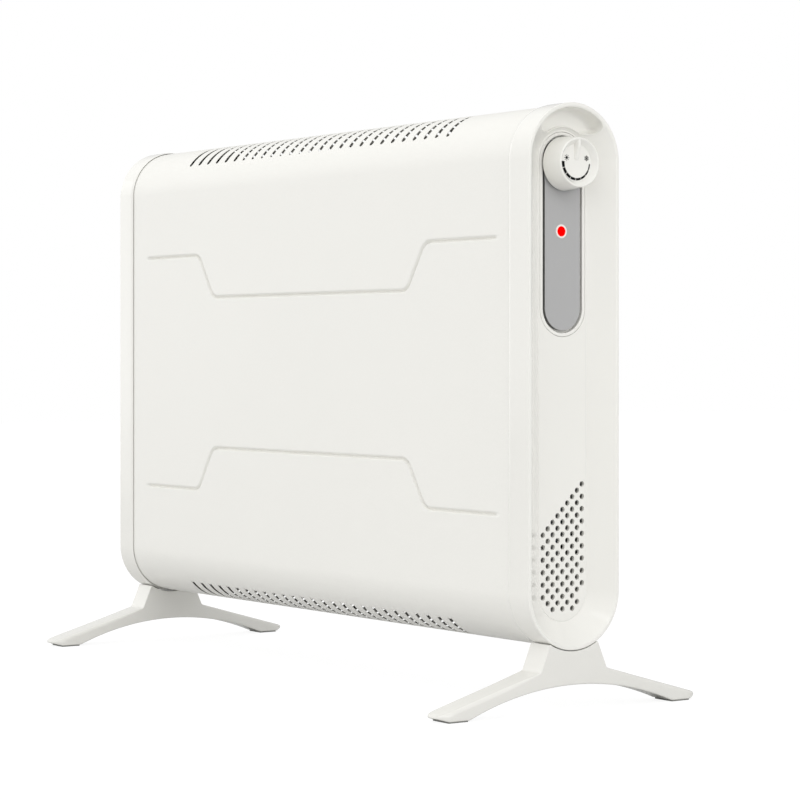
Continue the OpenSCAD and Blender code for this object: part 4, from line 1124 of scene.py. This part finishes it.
own_pieces = {
    paint: ("rear_panel",),
    zinc: ("thermostat_spindle", "thermostat_nut", "heat_shield_front", "heat_shield_rear",
           "element_bracket", "foot_screws", "cap_screws", "rear_panel_screws"),
    tube_steel: ("heating_tube", "terminal_pins"),
    aluminium: ("heating_fins",),
    ceramic: ("ceramic_bushes", "terminal_block"),
    phenolic: ("thermostat_body",),
    black: ("thermal_cutout", "cord_gland", "gland_nut"),
    clear: ("indicator_lamp",),
    rubber: ("foot_pads",),
    brass: ("earth_screw",),
}
wire_colours = {
    "wire_live": (0.2, 0.09, 0.04), "wire_switched": (0.03, 0.03, 0.03), "wire_limited": (0.5, 0.03, 0.02),
    "wire_neutral": (0.03, 0.1, 0.4), "wire_earth": (0.1, 0.35, 0.06), "lamp_leads": (0.75, 0.75, 0.7),
}
for mat, nodes in own_pieces.items():
    for node in nodes:
        dress(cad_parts[node], mat)
for node, colour in wire_colours.items():
    dress(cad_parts[node], finish(node.replace("_", " "), colour, 0.4, 0.05, 600))


# Floor, light and camera

scene = bpy.context.scene
scene.view_settings.view_transform = "Standard"

FLOOR_M = 12
FLOOR_LIT = 0.68         # brightness of the floor as other rays see it
FLOOR_SHADE = 0.16       # what its shadow takes off the camera's white
FLOOR_GLOW = 0.9
SKY_LEVELS = ((0.35, 0.79), (0.78, 1.0), (1.0, 0.72))    # share of the way up, and brightness
BEHIND = (-0.2, 0.7)     # span along Y over which the light falls off to its level behind
GAP_WAY = (0.8, -0.6, 0)
GAP_START = 0.5          # as the cosine of the angle from the gap's middle


def level_colour(level):
    return (level, level, level, 1)


def seen_by_camera(nodes, links, lit, seen, out):
    """Gives one shader to the camera's rays and the other to the rest."""
    path = nodes.new("ShaderNodeLightPath")
    pick = nodes.new("ShaderNodeMixShader")
    links.new(path.outputs["Is Camera Ray"], pick.inputs[0])
    links.new(lit.outputs[0], pick.inputs[1])
    links.new(seen.outputs[0], pick.inputs[2])
    links.new(pick.outputs[0], out.inputs[0])


def stage_floor():
    """A pale floor that reads white to the camera and keeps a soft shadow."""
    bpy.ops.mesh.primitive_plane_add(size=FLOOR_M, location=(0, 0, 0))
    floor = bpy.context.object
    floor.name = "floor"
    mat = bpy.data.materials.new("floor")
    mat.use_nodes = True
    nodes, links = mat.node_tree.nodes, mat.node_tree.links
    nodes.remove(nodes["Principled BSDF"])
    lit = nodes.new("ShaderNodeBsdfDiffuse")
    lit.inputs["Color"].default_value = level_colour(FLOOR_LIT)
    shade = nodes.new("ShaderNodeBsdfDiffuse")
    shade.inputs["Color"].default_value = level_colour(FLOOR_SHADE)
    glow = nodes.new("ShaderNodeEmission")
    glow.inputs["Strength"].default_value = FLOOR_GLOW
    both = nodes.new("ShaderNodeAddShader")
    links.new(shade.outputs[0], both.inputs[0])
    links.new(glow.outputs[0], both.inputs[1])
    seen_by_camera(nodes, links, lit, both, nodes["Material Output"])
    dress(floor, mat)


def world_light(strength, rear_share, gap_share):
    """Even studio light, dimmer from behind and in the gap between the soft boxes at the right end."""
    world = bpy.data.worlds.new("studio")
    scene.world = world
    world.use_nodes = True
    nodes, links = world.node_tree.nodes, world.node_tree.links
    soft = nodes["Background"]
    way = nodes.new("ShaderNodeTexCoord").outputs["Generated"]
    split = nodes.new("ShaderNodeSeparateXYZ")
    links.new(way, split.inputs[0])
    ramp = nodes.new("ShaderNodeValToRGB")
    sky = ramp.color_ramp.elements
    sky.new(1.0)
    for element, (position, level) in zip(sky, SKY_LEVELS):
        element.position = position
        element.color = level_colour(level)
    links.new(map_range(nodes, links, split.outputs["Z"], -1, 1, 0, 1), ramp.inputs["Fac"])
    links.new(ramp.outputs["Color"], soft.inputs["Color"])
    toward = nodes.new("ShaderNodeVectorMath")
    toward.operation = "DOT_PRODUCT"
    toward.inputs[1].default_value = GAP_WAY
    links.new(way, toward.inputs[0])
    level = nodes.new("ShaderNodeMath")
    level.operation = "MULTIPLY"
    rear = map_range(nodes, links, split.outputs["Y"], *BEHIND, strength, strength * rear_share)
    links.new(rear, level.inputs[0])
    gap = map_range(nodes, links, toward.outputs["Value"], GAP_START, 1, 1, gap_share)
    links.new(gap, level.inputs[1])
    links.new(level.outputs["Value"], soft.inputs["Strength"])
    white = nodes.new("ShaderNodeBackground")
    white.inputs["Color"].default_value = level_colour(1)
    seen_by_camera(nodes, links, soft, white, nodes["World Output"])


def soft_box(name, place, aim, size, power):
    light = bpy.data.lights.new(name, "AREA")
    light.shape = "RECTANGLE"
    light.size, light.size_y = size
    light.energy = power
    obj = bpy.data.objects.new(name, light)
    obj.location = place
    obj.rotation_euler = (Vector(aim) - Vector(place)).to_track_quat("-Z", "Y").to_euler()
    scene.collection.objects.link(obj)


def make_camera():
    """Level camera in front of the right end, at the photograph's viewing angle."""
    camera = bpy.data.cameras.new("camera")
    camera.sensor_width = 36
    camera.lens = 116.94
    camera.shift_y = -0.0584
    obj = bpy.data.objects.new("camera", camera)
    obj.location = (1.55271, -1.03408, 0.22756)
    obj.rotation_euler = (math.radians(90), 0, math.radians(55.136))
    scene.collection.objects.link(obj)
    scene.camera = obj


stage_floor()
world_light(strength=1.395, rear_share=0.37, gap_share=0.66)
soft_box("fill", (2.55, 0.1, 0.9), (0, 0, 0.2), (1.6, 1.6), 13.0)
soft_box("highlight", (-2.3, -0.82, 0.5), (0, 0, 0.36), (0.8, 1.5), 2.4)
soft_box("streak", (1.75, -1.15, 1.55), (0.25, 0, 0.1), (0.8, 0.3), 1.1)
make_camera()
